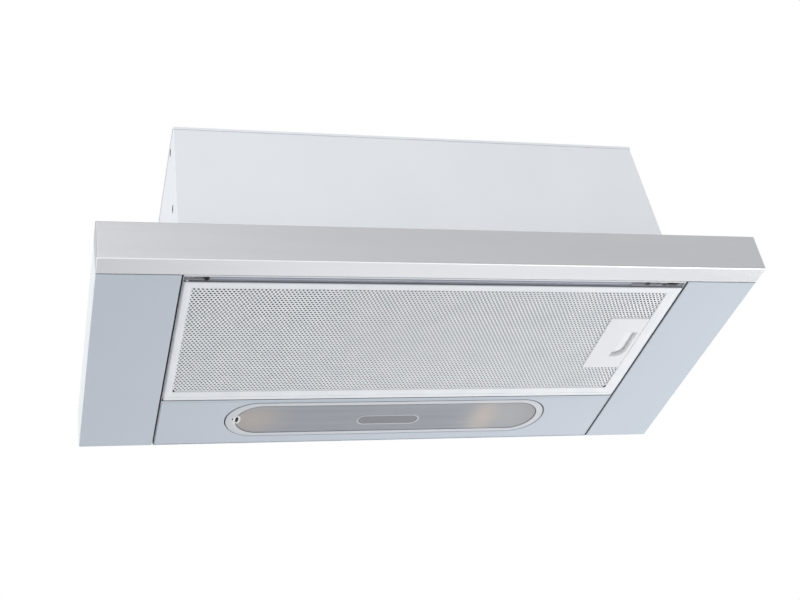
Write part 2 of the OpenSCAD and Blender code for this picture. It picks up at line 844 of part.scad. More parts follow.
module bulb_right() {
    color("lightyellow") placed() bulb();
}

// Outline of the lens's face inside its rim.
module lens_face() {
    r = lens_w/2 - lens_rim[2];
    c0 = -lens_l/2 + lens_rim[0] + r;
    c1 = lens_l/2 - lens_rim[1] - r;
    for (x = [c0, c1]) translate([x, lens_y]) circle(r);
    translate([c0, lens_y - r]) square([c1 - c0, 2*r]);
}

// Moulded lens: a flat face inside a proud rim, a wall above it, hooks at its right end.
module lamp_lens() {
    face_z = 0.8;
    color("lightgray") placed() difference() {
        union() {
            difference() {
                linear_extrude(6.4) stadium(0);
                translate([0, 0, 2.2]) linear_extrude(5) stadium(-1.6);
                translate([0, 0, -1]) linear_extrude(1 + face_z) lens_face();
            }
            // Raised capsule in the middle of the face
            translate([0, 4, 0.3]) linear_extrude(1) {
                for (x = [-23.5, 23.5]) translate([x, lens_y]) circle(7.5);
                translate([-23.5, lens_y - 7.5]) square([47, 15]);
            }
            // Hook arm and its pegs
            block([lens_l/2 - 3, lens_y - 6, 1.9], [lens_axis[0] + 1.2, lens_y + 6, 3.7]);
            pin_y(lens_axis[0], lens_axis[1], lens_y - 9.6, lens_y + 9.6, 1.2);
            // Snap tabs at the middle of the long sides
            for (y = [lens_y - lens_w/2, lens_y + lens_w/2 - 1.6])
                block([-6, y, 2], [6, y + 1.6, 7.4]);
        }
        translate([lens_screw_x, lens_y, -1]) cylinder(h = 9, r = 1.8);
        translate([lens_screw_x, lens_y, -1]) cylinder(h = 2.4, r = 3.2);
    }
}

module lens_screw() {
    color("black") placed() translate([lens_screw_x, lens_y, 0.1]) {
        screw(2.8, 1.3, 1.5, 7.6);
    }
}

// ---- Drawer ----

// The fascia's outer section: front, lip and top return, with small bend radii.
module fascia_section() {
    bend = 1.2;
    difference() {
        square([lip_d, fascia_h]);
        for (m = [0, 1]) translate([0, m*fascia_h]) mirror([0, m])
            difference() {
                translate([-1, -1]) square(bend + 1);
                translate([bend, bend]) circle(bend);
            }
    }
}

module fascia() {
    half = fascia_w/2;
    t = 0.9;
    color("silver") placed() difference() {
        along_x(-half, half) fascia_section();
        along_x(-half + t, half - t) translate([t, t]) square([lip_d, fascia_h - 2*t]);
    }
}

// Ribbed carrier behind the fascia, open to the back between its ribs.
module fascia_bar() {
    half = fascia_w/2 - 0.9;
    cells = 10;
    pitch = 2*half/cells;
    rib = 1.8;
    color("gray") placed() difference() {
        block([-half, 0.9, 0.9], [half, gap_back, fascia_h - 0.9]);
        for (i = [0:cells - 1])
            block([-half + i*pitch + rib, 3, 3],
                  [-half + (i + 1)*pitch - rib, gap_back + 1, fascia_h - 3]);
        // The lip's back edge stays clear of the bar
        block([-half - 1, lip_d, 0], [half + 1, gap_back + 1, 1.4]);
    }
}

// Side tray: floor, inner hem, outer wall, top flange, closed front and back.
module side_tray() {
    x0 = fascia_w/2 - tray_w;
    x1 = fascia_w/2;
    placed() {
        along_y(gap_back, closed_d) polygon([
            [x0, 0], [x1, 0], [x1, fascia_h], [x1 - flange, fascia_h],
            [x1 - flange, fascia_h - sheet], [x1 - sheet, fascia_h - sheet],
            [x1 - sheet, sheet], [x0 + sheet, sheet], [x0 + sheet, 6], [x0, 6]]);
        block([runner_x + slide_t + 0.4, closed_d - sheet, 0], [x1, closed_d, fascia_h]);
        block([runner_x + flange + 0.4, gap_back, 0], [x1, gap_back + sheet, fascia_h]);
    }
}

module side_tray_left() {
    color("lightsteelblue") at_left() side_tray();
}

module side_tray_right() {
    color("lightsteelblue") side_tray();
}

// Frame on the fascia bar that reaches back inside the pan and holds the second filter.
module filter_carrier() {
    z1 = carrier_z + carrier_h;
    color("silver") placed() difference() {
        block([-carrier_x, gap_back, carrier_z], [carrier_x, carrier_y1, z1]);
        block([-carrier_x + 3.6, gap_back + sheet, carrier_z + sheet],
              [carrier_x - 3.6, carrier_y1 - 3.6, z1 + 1]);
        block([-carrier_x + 14, gap_back + 12, carrier_z - 1],
              [carrier_x - 14, carrier_y1 - 14, z1]);
        // Lightening slots in the two arms
        for (y = [50:40:170])
            block([-carrier_x - 1, y, carrier_z + 6], [carrier_x + 1, y + 24, carrier_z + 13]);
    }
}

module drawer_screws() {
    color("dimgray") placed() {
        both_sides() for (y = runner_screw_y)
            translate([runner_x + 9, y, sheet + slide_t + 1.4]) mirror([0, 0, 1])
                screw(3, 1.4, 1.5, slide_t);
    }
}

// ---- Filters ----

// Staggered holes in rows 60 degrees apart, over a field centred on its own middle.
module hole_field(w, d, pitch, r) {
    row = pitch*sin(60);
    nx = floor((w/2 - r)/pitch);
    ny = floor((d/2 - r)/row);
    for (j = [-ny:ny], i = [-nx:nx])
        if (j % 2 == 0 || i < nx)
            translate([(i + (j % 2 == 0 ? 0 : 0.5))*pitch, j*row]) circle(r, $fn = 6);
}

// Punched sheet between two corners, with its own margin left whole.
module punched_sheet(low, high, margin, z, cut = [0, 0, 0, 0]) {
    mid = (low + high)/2;
    size = high - low;
    translate([0, 0, z]) linear_extrude(mesh_t) difference() {
        translate(low) square(size);
        difference() {
            translate(mid)
                hole_field(size[0] - 2*margin, size[1] - 2*margin, hole_pitch, hole_pitch*0.3);
            if (cut[2] > 0) translate([cut[0] - 6, cut[1] - 6]) square([cut[2] + 12, cut[3] + 12]);
        }
        if (cut[2] > 0) translate([cut[0], cut[1]]) square([cut[2], cut[3]]);
    }
}

// Rigid filter frame: border, outer wall and inner return, with a rolled left edge on pegs.
module filter_frame() {
    color("whitesmoke") placed() difference() {
        union() {
            difference() {
                union() {
                    block([peg_x, filter_y0, 0], [filter_x, filter_y1, filter_t]);
                    block([-filter_x, filter_y0, peg_z], [peg_x + eps, filter_y1, filter_t]);
                    pin_y(peg_x, peg_z, filter_y0, filter_y1, edge_r);
                }
                block([-filter_x + sheet, filter_y0 + sheet, sheet + eps],
                      [filter_x - sheet, filter_y1 - sheet, filter_t - sheet]);
                // Window over the punched sheet, and the same from above
                block([-filter_x + border[0], filter_y0 + border[1], -1],
                      [filter_x - border[2], filter_y1 - border[3], sheet + 1]);
                block([-filter_x + 6, filter_y0 + 6, filter_t - 1],
                      [filter_x - 6, filter_y1 - 6, filter_t + 1]);
            }
            // Pegs of the left edge
            pin_y(peg_x, peg_z, filter_y0 - 1.9, filter_y0 + sheet, peg_r);
            pin_y(peg_x, peg_z, filter_y1 - sheet, filter_y1 + 2, peg_r);
        }
        // Notch over the keeper: the lower plate stays whole
        block([keeper_x - 0.8, bolt_y - notch_w/2, sheet],
              [filter_x + 1, bolt_y + notch_w/2, filter_t + 1]);
    }
}

module filter_mesh() {
    color("lightgray") placed()
        punched_sheet([-filter_x + 3.2, filter_y0 + 1], [filter_x - 5.6, filter_y1 - 1], 9,
                      sheet + 0.6,
                      [recess_x[0] - latch_travel - 3, recess_y[0] - 3,
                       recess_x[1] - recess_x[0] + latch_travel + 6,
                       recess_y[1] - recess_y[0] + 6]);
}

// Pleated layers inside the filter, a wavy sheet between the mesh and the return.
module filter_pack() {
    color("darkgray") placed() difference() {
        pleats(-filter_x + 4, filter_x - 7, filter_y0 + 2, filter_y1 - 2, 2.2, 7.6);
        block([recess_x[0] - latch_travel - 5, recess_y[0] - 5, 0],
              [filter_x + 1, recess_y[1] + 5, filter_t]);
    }
}

// A folded sheet of zigzag pleats that run front to back.
module pleats(x0, x1, y0, y1, z0, z1) {
    n = 24;
    t = 1.4;
    step = (x1 - x0)/n;
    function zig(i) = i % 2 == 0 ? z0 : z1 - t;
    along_y(y0, y1) polygon(concat(
        [for (i = [0:n]) [x0 + i*step, zig(i)]],
        [for (i = [n:-1:0]) [x0 + i*step, zig(i) + t]]));
}

// Fixed guide of the latch, a shallow frame behind the punched sheet.
module latch_guide() {
    z0 = sheet + 0.6 + mesh_t;
    x0 = recess_x[0] - latch_travel - 4.5;
    x1 = filter_x - 6;
    y0 = recess_y[0] - 4.5;
    y1 = recess_y[1] + 4.5;
    color("white") placed() difference() {
        block([x0, y0, z0], [x1, y1, filter_t - sheet - 0.1]);
        block([x0 + 2.2, y0 + 2.2, z0 - 1], [x1 - 2, y1 - 2.2, filter_t]);
        // Way out for the bolt
        block([x1 - 3, bolt_y - bolt_w/2 - slip, bolt_z[0] - slip],
              [x1 + 1, bolt_y + bolt_w/2 + slip, bolt_z[1] + slip]);
    }
}

// Latch handle: outside plate, finger recess behind it, bolt with a bevelled nose.
module latch_handle() {
    shell = 1.2;
    z0 = 0.1;
    nose = filter_x - 0.9;
    color("white") placed() difference() {
        union() {
            block([latch_x[0], latch_y[0], z0], [latch_x[1], latch_y[1], 1.2]);
            block([recess_x[0] - shell, recess_y[0] - shell, z0],
                  [recess_x[1] + shell, recess_y[1] + shell, recess_top + shell]);
            along_y(bolt_y - bolt_w/2, bolt_y + bolt_w/2) polygon([
                [recess_x[1], bolt_z[0]], [nose - 2.2, bolt_z[0]], [nose, bolt_z[0] + 1.6],
                [nose, bolt_z[1]], [recess_x[1], bolt_z[1]]]);
        }
        finger_recess(z0);
    }
}

// The recess: its floor slopes from nothing at the left to the deep right wall.
module finger_recess(z0) {
    low = [recess_x[0], recess_y[0]];
    high = [recess_x[1], recess_y[1]];
    intersection() {
        along_y(low[1] - 1, high[1] + 1) polygon([
            [low[0], z0 - 2], [high[0], z0 - 2], [high[0], recess_top],
            [high[0] - 3, recess_top], [low[0], z0 + 0.1]]);
        translate([0, 0, z0 - 2]) linear_extrude(recess_top + 3) {
            translate(low) square(high - low - [recess_r, 0]);
            translate(low + [0, 2.5]) square(high - low - [0, recess_r + 2.5]);
            translate(high - [recess_r, recess_r]) circle(recess_r);
            translate([high[0] - 2.5, low[1] + 2.5]) circle(2.5);
            translate(low) square([high[0] - low[0] - 2.5, 4]);
        }
    }
}

module drawer_filter_frame() {
    color("silver") placed() difference() {
        block([-second_x, second_y[0], second_z], [second_x, second_y[1], second_z + second_t]);
        block([-second_x + sheet, second_y[0] + sheet, second_z + sheet],
              [second_x - sheet, second_y[1] - sheet, second_z + second_t - sheet]);
        block([-second_x + 9, second_y[0] + 9, second_z - 1],
              [second_x - 9, second_y[1] - 9, second_z + second_t + 1]);
    }
}

module drawer_filter_mesh() {
    color("lightgray") placed()
        punched_sheet([-second_x + 1, second_y[0] + 1], [second_x - 1, second_y[1] - 1], 9,
                      second_z + sheet);
}

module drawer_filter_pack() {
    color("darkgray") placed()
        pleats(-second_x + 2, second_x - 2, second_y[0] + 2, second_y[1] - 2,
               second_z + sheet + mesh_t, second_z + second_t - sheet);
}

body_shell();
top_panel();
underside_pan();
front_rail();
rail_screw();
switch_housing();
speed_slider();
light_slider();
latch_keeper();
body_screws();
slide_rail_left();
slide_rail_right();
rail_axles();
rail_roller_left();
rail_roller_right();
volute_left();
volute_right();
inlet_guard();
impeller();
impeller_shaft();
motor();
motor_bracket();
motor_grommets();
blower_screws();
outlet_collar();
collar_screws();
flap_pin();
front_flap();
rear_flap();
terminal_box();
terminal_cover();
capacitor();
cable_gland();
lamp_tray();
lamp_roof();
lamp_holders();
bulb_left();
bulb_right();
lamp_lens();
lens_screw();
fascia();
fascia_bar();
side_tray_left();
side_tray_right();
runner_left();
runner_right();
runner_axles();
runner_roller_left();
runner_roller_right();
filter_carrier();
drawer_filter_frame();
drawer_filter_mesh();
drawer_filter_pack();
drawer_screws();
filter_frame();
filter_mesh();
filter_pack();
latch_guide();
latch_handle();
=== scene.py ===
"""Looks of a slim pull out range hood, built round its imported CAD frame.

Shapes are worked out in millimetres: x to the cook's right, d the distance behind the
fascia's face and z above the underside. They go into the meshes in metres, d from FACE on.
"""

import json
import math

import bpy
import numpy as np
from mathutils import Euler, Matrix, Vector

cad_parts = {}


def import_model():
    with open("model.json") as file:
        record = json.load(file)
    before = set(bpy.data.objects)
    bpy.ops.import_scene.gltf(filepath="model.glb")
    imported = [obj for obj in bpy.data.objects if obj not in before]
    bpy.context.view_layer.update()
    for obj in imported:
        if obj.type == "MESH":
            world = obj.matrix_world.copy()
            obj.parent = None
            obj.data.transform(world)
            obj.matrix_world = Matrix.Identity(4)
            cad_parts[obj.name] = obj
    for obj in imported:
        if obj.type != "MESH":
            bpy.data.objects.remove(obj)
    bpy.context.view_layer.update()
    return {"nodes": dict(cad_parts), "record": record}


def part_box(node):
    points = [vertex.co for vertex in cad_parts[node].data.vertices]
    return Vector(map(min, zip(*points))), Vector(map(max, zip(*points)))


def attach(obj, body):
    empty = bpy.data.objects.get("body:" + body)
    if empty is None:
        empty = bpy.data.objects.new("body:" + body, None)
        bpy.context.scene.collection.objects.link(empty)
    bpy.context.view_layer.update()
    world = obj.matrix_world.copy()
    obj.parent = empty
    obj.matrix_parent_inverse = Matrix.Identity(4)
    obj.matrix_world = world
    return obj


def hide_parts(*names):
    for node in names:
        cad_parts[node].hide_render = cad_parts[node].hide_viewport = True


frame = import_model()
nodes = frame["nodes"]

MM = 0.001
TAU = 2 * math.pi
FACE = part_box("fascia")[0].y / MM         # y of the fascia's face
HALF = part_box("fascia")[1].x / MM         # half width of the fascia
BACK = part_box("body_shell")[1].y / MM - FACE
SHEET = 0.8                               # thickness of the folded sheet steel
LENS_Y = 253.0                            # middle of the lens, front to back
SLOT_X = -152.6                           # and of the slot for its screw, along it


# ---- Surfaces, as arrays of points and of faces ----

def grid_faces(rows, cols, ring_shaped=False):
    """Quads between neighbours (i, j), (i, j+1), (i+1, j+1), (i+1, j) of a grid whose columns close."""
    i = np.arange(rows if ring_shaped else rows - 1)[:, None]
    j = np.arange(cols)[None, :]
    up, on = (i + 1) % rows, (j + 1) % cols
    quads = [i * cols + j, i * cols + on, up * cols + on, up * cols + j]
    return np.stack(quads, -1).reshape(-1, 4)


def outwards(points, faces):
    """A closed surface whose faces point out: the sum of a.(b x c)/6 over its triangles is positive."""
    volume = 0.0
    for f in faces:
        for k in range(1, f.shape[1] - 1):
            a, b, c = points[f[:, 0]], points[f[:, k]], points[f[:, k + 1]]
            volume += np.einsum("ij,ij->", a, np.cross(b, c))
    return (points, [f[:, ::-1] for f in faces]) if volume < 0 else (points, faces)


def joined(*parts):
    """Closed surfaces put into one mesh: each one's face numbers go up by the points before it."""
    points, faces, start = [], [], 0
    for p, fs in parts:
        points.append(p)
        faces += [f + start for f in fs]
        start += len(p)
    return np.concatenate(points), faces


def mirrored(part):
    """The same surface at the other side, x to -x, with its faces turned to point out again."""
    points, faces = part
    return points * [-1, 1, 1], [f[:, ::-1] for f in faces]


def loft(rings, ring_shaped=False):
    """Rings of n points each, joined by quads. A flat face closes each end, or the ends are joined."""
    rings = np.asarray(rings, float)
    m, n = rings.shape[:2]
    faces = [grid_faces(m, n, ring_shaped)]
    if not ring_shaped:
        faces += [np.arange(n)[None, ::-1], (m - 1) * n + np.arange(n)[None]]
    return outwards(rings.reshape(-1, 3), faces)


def level(outline, z):
    """A ring in space: the outline's x and d at height z, one height or one for each point."""
    return np.column_stack([outline, np.broadcast_to(z, len(outline))])


def carried(outline, ends, axis):
    """A closed outline carried from ends[0] to ends[1] along x (axis 0), d (1) or z (2)."""
    p = np.asarray(outline, float)
    return loft([np.insert(p, axis, e, axis=1) for e in ends])


def rounded_rect(x0, x1, y0, y1, r, n=5, side=0):
    """Outline C + r(cos a, sin a) round the four corners' centres C, a quarter turn each,
    with extra points evenly along each side."""
    a = np.linspace(-TAU / 4, 0, n)[None] + np.arange(4)[:, None] * TAU / 4
    cx = np.array([x1 - r, x1 - r, x0 + r, x0 + r])[:, None]
    cy = np.array([y0 + r, y1 - r, y1 - r, y0 + r])[:, None]
    arcs = np.stack([cx + r * np.cos(a), cy + r * np.sin(a)], -1)
    if side:
        s = np.linspace(0, 1, side + 2)[1:-1, None]
        after = np.roll(arcs[:, 0], -1, axis=0)[:, None]
        arcs = np.concatenate([arcs, arcs[:, -1:] * (1 - s) + after * s], 1)
    return arcs.reshape(-1, 2)


def rect(x0, x1, y0, y1):
    """A plain rectangle's outline."""
    return [(x0, y0), (x1, y0), (x1, y1), (x0, y1)]


def quarter(n):
    """Steps of a quarter turn a as pairs (1 - cos a, 1 - sin a), from (0, 1) to (1, 0)."""
    a = np.linspace(0, TAU / 4, n)
    return list(zip(1 - np.cos(a), 1 - np.sin(a)))


def closed(right, left, k):
    """An outline through the points of its right and left ends, with k more evenly along each
    straight between them."""
    s = np.linspace(0, 1, k + 2)[1:-1, None]
    far = right[-1] * (1 - s) + left[0] * s
    near = left[-1] * (1 - s) + right[0] * s
    return np.concatenate([right, far, left, near])


def stadium(c0, c1, r, y, n=14, k=8):
    """Outline of two half circles C + r(cos a, sin a) at x = c0 and c1, and the straights between."""
    a = np.linspace(-TAU / 4, TAU / 4, 2 * n + 1)
    right = np.stack([c1 + r * np.cos(a), y + r * np.sin(a)], 1)
    left = np.stack([c0 - r * np.cos(a), y - r * np.sin(a)], 1)
    return closed(right, left, k)


def stadium_box(c0, c1, x0, x1, y0, y1, n=14, k=8):
    """A rectangle's outline with one point for each point of a stadium: over s from -2 to 2 the
    end goes along the near side, up the end at s = -1 to 1, and back along the far side."""
    s = np.linspace(-2, 2, 2 * n + 1)
    out, up = np.clip(2 - abs(s), 0, 1), np.clip(s, -1, 1)
    mid, half = (y0 + y1) / 2, (y1 - y0) / 2
    right = np.stack([c1 + (x1 - c1) * out, mid + half * up], 1)
    left = np.stack([c0 - (c0 - x0) * out, mid - half * up], 1)
    return closed(right, left, k)


def softened(outline, r, steps=3):
    """A closed outline with each corner P rounded: A(1-s)^2 + 2Ps(1-s) + Bs^2 between the points
    A and B at r before and after it."""
    p = np.asarray(outline, float)
    before, after = np.roll(p, 1, 0) - p, np.roll(p, -1, 0) - p
    back, on = np.linalg.norm(before, axis=1), np.linalg.norm(after, axis=1)
    r = np.broadcast_to(np.asarray(r, float), len(p))
    a = p + before * (np.minimum(r, 0.45 * back) / back)[:, None]
    b = p + after * (np.minimum(r, 0.45 * on) / on)[:, None]
    s = np.linspace(0, 1, steps + 1)[None, :, None]
    curve = (1 - s) ** 2 * a[:, None] + 2 * s * (1 - s) * p[:, None] + s * s * b[:, None]
    return curve.reshape(-1, 2)


def folded(path, ends, axis, t=SHEET, r=0.6, steps=4):
    """Sheet of thickness t folded along path, its outer line, with the sheet at the line's left,
    and carried along x (axis 0) or d (axis 1). At a fold of angle a the line leaves both legs
    R tan(a/2) before the corner for the arc C + R(cos, sin), R being r inside and r + t outside."""
    path = np.asarray(path, float)
    leg = np.diff(path, axis=0)
    leg /= np.linalg.norm(leg, axis=1)[:, None]
    left = np.stack([-leg[:, 1], leg[:, 0]], 1)
    line, inner = [path[:1]], [path[:1] + left[:1] * t]
    for i in range(1, len(path) - 1):
        turn = math.atan2(np.linalg.det([leg[i - 1], leg[i]]), leg[i - 1] @ leg[i])
        side = math.copysign(1, turn)
        outer_r = r + t if side > 0 else r
        back = outer_r * math.tan(abs(turn) / 2)
        centre = path[i] - leg[i - 1] * back + left[i - 1] * outer_r * side
        a = np.linspace(0, turn, steps + 1)
        u, v = -left[i - 1] * side
        spokes = np.stack([u * np.cos(a) - v * np.sin(a), u * np.sin(a) + v * np.cos(a)], 1)
        line.append(centre + outer_r * spokes)
        inner.append(centre + (outer_r - t * side) * spokes)
    line = np.concatenate(line + [path[-1:]])
    inner = np.concatenate(inner + [path[-1:] + left[-1:] * t])
    m = len(line)
    points = np.concatenate([np.insert(p, axis, e, axis=1) for e in ends for p in (line, inner)])
    a, b, c, d = (np.arange(m) + q * m for q in range(4))     # line and inner line at both ends
    quads = [(a[:-1], a[1:], c[1:], c[:-1]), (b[1:], b[:-1], d[:-1], d[1:]),
             (a[1:], a[:-1], b[:-1], b[1:]), (c[:-1], c[1:], d[1:], d[:-1]),
             (a[:1], c[:1], d[:1], b[:1]), (a[-1:], b[-1:], d[-1:], c[-1:])]
    return outwards(points, [np.stack(q, 1) for q in quads])


def turned(profile, centre, axis, n=48, ring_shaped=True):
    """Turned piece: (radius, place along the axis) turned about it, r cos a and r sin a across."""
    r, h = np.asarray(profile, float).T[:, :, None]
    a = np.arange(n) / n * TAU
    u, v, w = r * np.cos(a), r * np.sin(a), h + 0 * a
    order = {0: (w, u, v), 1: (v, w, u), 2: (u, v, w)}[axis]
    return loft(np.stack(order, -1) + np.asarray(centre, float), ring_shaped)


def slab(xs, ys, low, high):
    """A solid between two heights low(x, d) and high(x, d) over a grid, with straight walls."""
    x, y = np.meshgrid(xs, ys)
    ny, nx = x.shape
    points = np.concatenate([np.stack([x, y, z], -1).reshape(-1, 3) for z in (low(x, y), high(x, y))])
    n = nx * ny
    i, j = np.mgrid[0:ny - 1, 0:nx - 1]
    a = (i * nx + j).ravel()
    under = np.stack([a, a + nx, a + nx + 1, a + 1], 1)
    rim = np.concatenate([np.arange(nx), np.arange(1, ny) * nx + nx - 1,
                          (ny - 1) * nx + np.arange(nx - 2, -1, -1), np.arange(ny - 2, 0, -1) * nx])
    on = np.roll(rim, -1)
    walls = np.stack([rim, on, on + n, rim + n], 1)
    return outwards(points, [under, under[:, ::-1] + n, walls])


def thickened(points, faces, t):
    """Flat faces at one height made a sheet t thick: the same faces again t higher and turned
    round, and a wall along each edge that only one face uses."""
    n = len(points)
    starts = np.concatenate([f.ravel() for f in faces])
    stops = np.concatenate([np.roll(f, -1, axis=1).ravel() for f in faces])
    alone = ~np.isin(starts * n + stops, stops * n + starts)
    a, b = starts[alone], stops[alone]
    top = [f[:, ::-1] + n for f in faces]
    return outwards(np.concatenate([points, points + [0, 0, t]]),
                    faces + top + [np.stack([b, a, a + n, b + n], 1)])


def punched(window, z, t, hole, pitch=(3.56, 2.96), skip=None):
    """Sheet punched in staggered rows, in two halves, as many whole rows and columns as the window
    takes. Each brick, one pitch wide and one deep, is the ring of eight quads between its rim and
    the eight sided hole(cos a, sin a); each other row has a half brick without a hole at its ends.
    Points that round to the same hundredth of a millimetre are made one."""
    x0, x1, y0, y1 = window
    px, py = pitch
    nx, ny = int((x1 - x0) / px), int((y1 - y0) / py)
    x0, y0 = (x0 + x1 - nx * px) / 2, (y0 + y1 - ny * py) / 2
    x1 = x0 + nx * px
    row, col = (g.ravel() for g in np.mgrid[0:ny, 0:nx])
    odd = row % 2 == 1
    row, col, odd = (g[~(odd & (col == 0))] for g in (row, col, odd))
    centre = np.stack([x0 + (col + np.where(odd, 0, 0.5)) * px, y0 + (row + 0.5) * py], 1)
    if skip:
        inside = (centre[:, 0] > skip[0]) & (centre[:, 0] < skip[1])
        centre = centre[~(inside & (centre[:, 1] > skip[2]) & (centre[:, 1] < skip[3]))]
    rim = np.array([(-1, -1), (0, -1), (1, -1), (1, 0), (1, 1), (0, 1), (-1, 1), (-1, 0)]) / 2 * [px, py]
    a = np.arange(8) * TAU / 8 - TAU * 3 / 8
    ring = np.stack([np.cos(a), np.sin(a)], 1) * hole
    brick = np.concatenate([rim, ring])
    k = np.arange(8)
    quads = np.stack([k, (k + 1) % 8, (k + 1) % 8 + 8, k + 8], 1)
    odd_rows = np.arange(1, ny, 2)
    ends = np.array([(0, 0), (0.5, 0), (0.5, 0.5), (0.5, 1), (0, 1)])
    starts = np.stack([np.full(len(odd_rows), x0), y0 + odd_rows * py], 1)
    lefts = starts[:, None] + ends * [px, py]
    rights = lefts * [-1, 1] + [x0 + x1, 0]
    halves, middle = [], (x0 + x1) / 2
    for right in (False, True):
        own = centre[(centre[:, 0] >= middle) == right]
        points = (own[:, None] + brick).reshape(-1, 2)
        many = (np.arange(len(own))[:, None, None] * 16 + quads).reshape(-1, 4)
        five = np.arange(len(odd_rows))[:, None] * 5 + np.arange(5) + len(points)
        points = np.concatenate([points, (rights if right else lefts).reshape(-1, 2)])
        five = five[:, ::-1] if right else five
        hundredths = np.round(points * 100).astype(np.int64)
        _, first, back = np.unique(hundredths, axis=0, return_index=True, return_inverse=True)
        back = back.ravel()
        halves.append(thickened(level(points[first], z), [back[many], back[five]], t))
    return halves


# ---- Pieces ----

def add(name, part, body, slot, stands_for=(), sharp=35):
    """Puts a surface into a mesh, smooth except over edges sharper than sharp degrees, in the
    material of its record slot, and lets it ride on its body in the place of its CAD nodes."""
    points, faces = part
    mesh = bpy.data.meshes.new(name)
    loops = np.concatenate([f.ravel() for f in faces]).astype(np.int32)
    sizes = np.concatenate([np.full(len(f), f.shape[1]) for f in faces])
    starts = np.concatenate([[0], np.cumsum(sizes)[:-1]]).astype(np.int32)
    mesh.vertices.add(len(points))
    mesh.vertices.foreach_set("co", ((points + [0, FACE, 0]) * MM).astype(np.float32).ravel())
    mesh.loops.add(len(loops))
    mesh.loops.foreach_set("vertex_index", loops)
    mesh.polygons.add(len(starts))
    mesh.polygons.foreach_set("loop_start", starts)
    mesh.update(calc_edges=True)
    mesh.shade_smooth()
    mesh.set_sharp_from_angle(angle=math.radians(sharp))
    obj = bpy.data.objects.new(name, mesh)
    bpy.context.scene.collection.objects.link(obj)
    mesh.materials.append(SLOTS[slot])
    obj.modifiers.new("Flat faces stay flat", "WEIGHTED_NORMAL").keep_sharp = True
    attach(obj, body)
    if stands_for:
        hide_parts(*stands_for)


def read(items, field, kind, width=1):
    """One field of all of a mesh's vertices, loops or polygons, as an array."""
    values = np.zeros(len(items) * width, kind)
    items.foreach_get(field, values)
    return values


def carve(part, cutters):
    """The part less the cutters, by an exact boolean in a throwaway object."""
    things = []
    for name, (points, faces) in (("carved", part), ("cutter", joined(*cutters))):
        mesh = bpy.data.meshes.new(name)
        mesh.from_pydata(points.tolist(), [], [f for fs in faces for f in fs.tolist()])
        things.append(bpy.data.objects.new(name, mesh))
        bpy.context.scene.collection.objects.link(things[-1])
    cut = things[0].modifiers.new("cut", "BOOLEAN")
    cut.object, cut.solver, cut.operation = things[1], "EXACT", "DIFFERENCE"
    bpy.context.view_layer.update()
    done = things[0].evaluated_get(bpy.context.evaluated_depsgraph_get())
    mesh = bpy.data.meshes.new_from_object(done)
    points = read(mesh.vertices, "co", float, 3)
    sizes = read(mesh.polygons, "loop_total", np.int32)
    starts = read(mesh.polygons, "loop_start", np.int32)
    corners = read(mesh.loops, "vertex_index", np.int32)
    faces = [corners[starts[sizes == k][:, None] + np.arange(k)] for k in np.unique(sizes)]
    for o in things:
        bpy.data.objects.remove(o)
    return outwards(points.reshape(-1, 3), faces)


# ---- Shader groups and materials ----

FLOAT, COLOUR, VECTOR = "NodeSocketFloat", "NodeSocketColor", "NodeSocketVector"


def feed(tree, node, inputs):
    """Sets each input of a node to a value, or joins it to another node's socket."""
    for key, value in inputs.items():
        if isinstance(value, bpy.types.NodeSocket):
            tree.links.new(value, node.inputs[key])
        else:
            node.inputs[key].default_value = value
    return node


def put(tree, kind, inputs=None, **settings):
    """A new shader node with its settings and its inputs."""
    node = tree.nodes.new("ShaderNode" + kind)
    for key, value in settings.items():
        setattr(node, key, value)
    return feed(tree, node, inputs or {})


def spaced(named):
    """The same values by the sockets' names, which have spaces for the underscores."""
    return {key.replace("_", " "): value for key, value in named.items()}


def use(tree, group, **inputs):
    """What a shader group gives when it is placed in a material with these inputs."""
    return put(tree, "Group", spaced(inputs), node_tree=group).outputs


def new_group(name, inputs, outputs):
    """An empty shader group: its tree, the sockets it is given and the node that takes its results."""
    tree = bpy.data.node_groups.new(name, "ShaderNodeTree")
    for label, kind, value in inputs:
        tree.interface.new_socket(label, in_out="INPUT", socket_type=kind).default_value = value
    for label, kind in outputs:
        tree.interface.new_socket(label, in_out="OUTPUT", socket_type=kind)
    return tree, tree.nodes.new("NodeGroupInput").outputs, tree.nodes.new("NodeGroupOutput")


def srgb(r, g, b):
    """A colour written in 0 to 255, as the linear colour that nodes take."""
    c = np.array([r, g, b]) / 255
    return (*np.where(c <= 0.04045, c / 12.92, ((c + 0.055) / 1.055) ** 2.4).tolist(), 1.0)


def coordinates(tree):
    """The place on the piece, in metres."""
    return put(tree, "TexCoord").outputs["Object"]


def split(tree, vector):
    """The X, Y and Z of a vector."""
    return put(tree, "SeparateXYZ", {0: vector}).outputs


def own_normal(tree):
    """The X, Y and Z of the surface's normal in the piece's own frame."""
    return split(tree, put(tree, "TexCoord").outputs["Normal"])


def ramp(tree, value, low, high, to_low=0.0, to_high=1.0, **settings):
    """to_low below low, to_high above high, and in between evenly, or as the settings say, from
    one to the other."""
    return put(tree, "MapRange", {"Value": value, "From Min": low, "From Max": high,
                                  "To Min": to_low, "To Max": to_high}, **settings).outputs["Result"]


def noise(tree, where, scale, detail):
    """Noise from 0 to 1 with scale patches to a length of 1 in where."""
    return put(tree, "TexNoise", {"Vector": where, "Scale": scale, "Detail": detail}).outputs["Fac"]


def maths(tree, operation, *values):
    """An operation on one value or two."""
    return put(tree, "Math", dict(enumerate(values)), operation=operation).outputs[0]


def vector_maths(tree, operation, *values):
    """An operation on vectors."""
    return put(tree, "VectorMath", dict(enumerate(values)), operation=operation).outputs


def layered(tree, base, mask, over):
    """base with the colour over laid on where mask is 1."""
    return put(tree, "Mix", {0: mask, 6: base, 7: over}, data_type="RGBA").outputs[2]


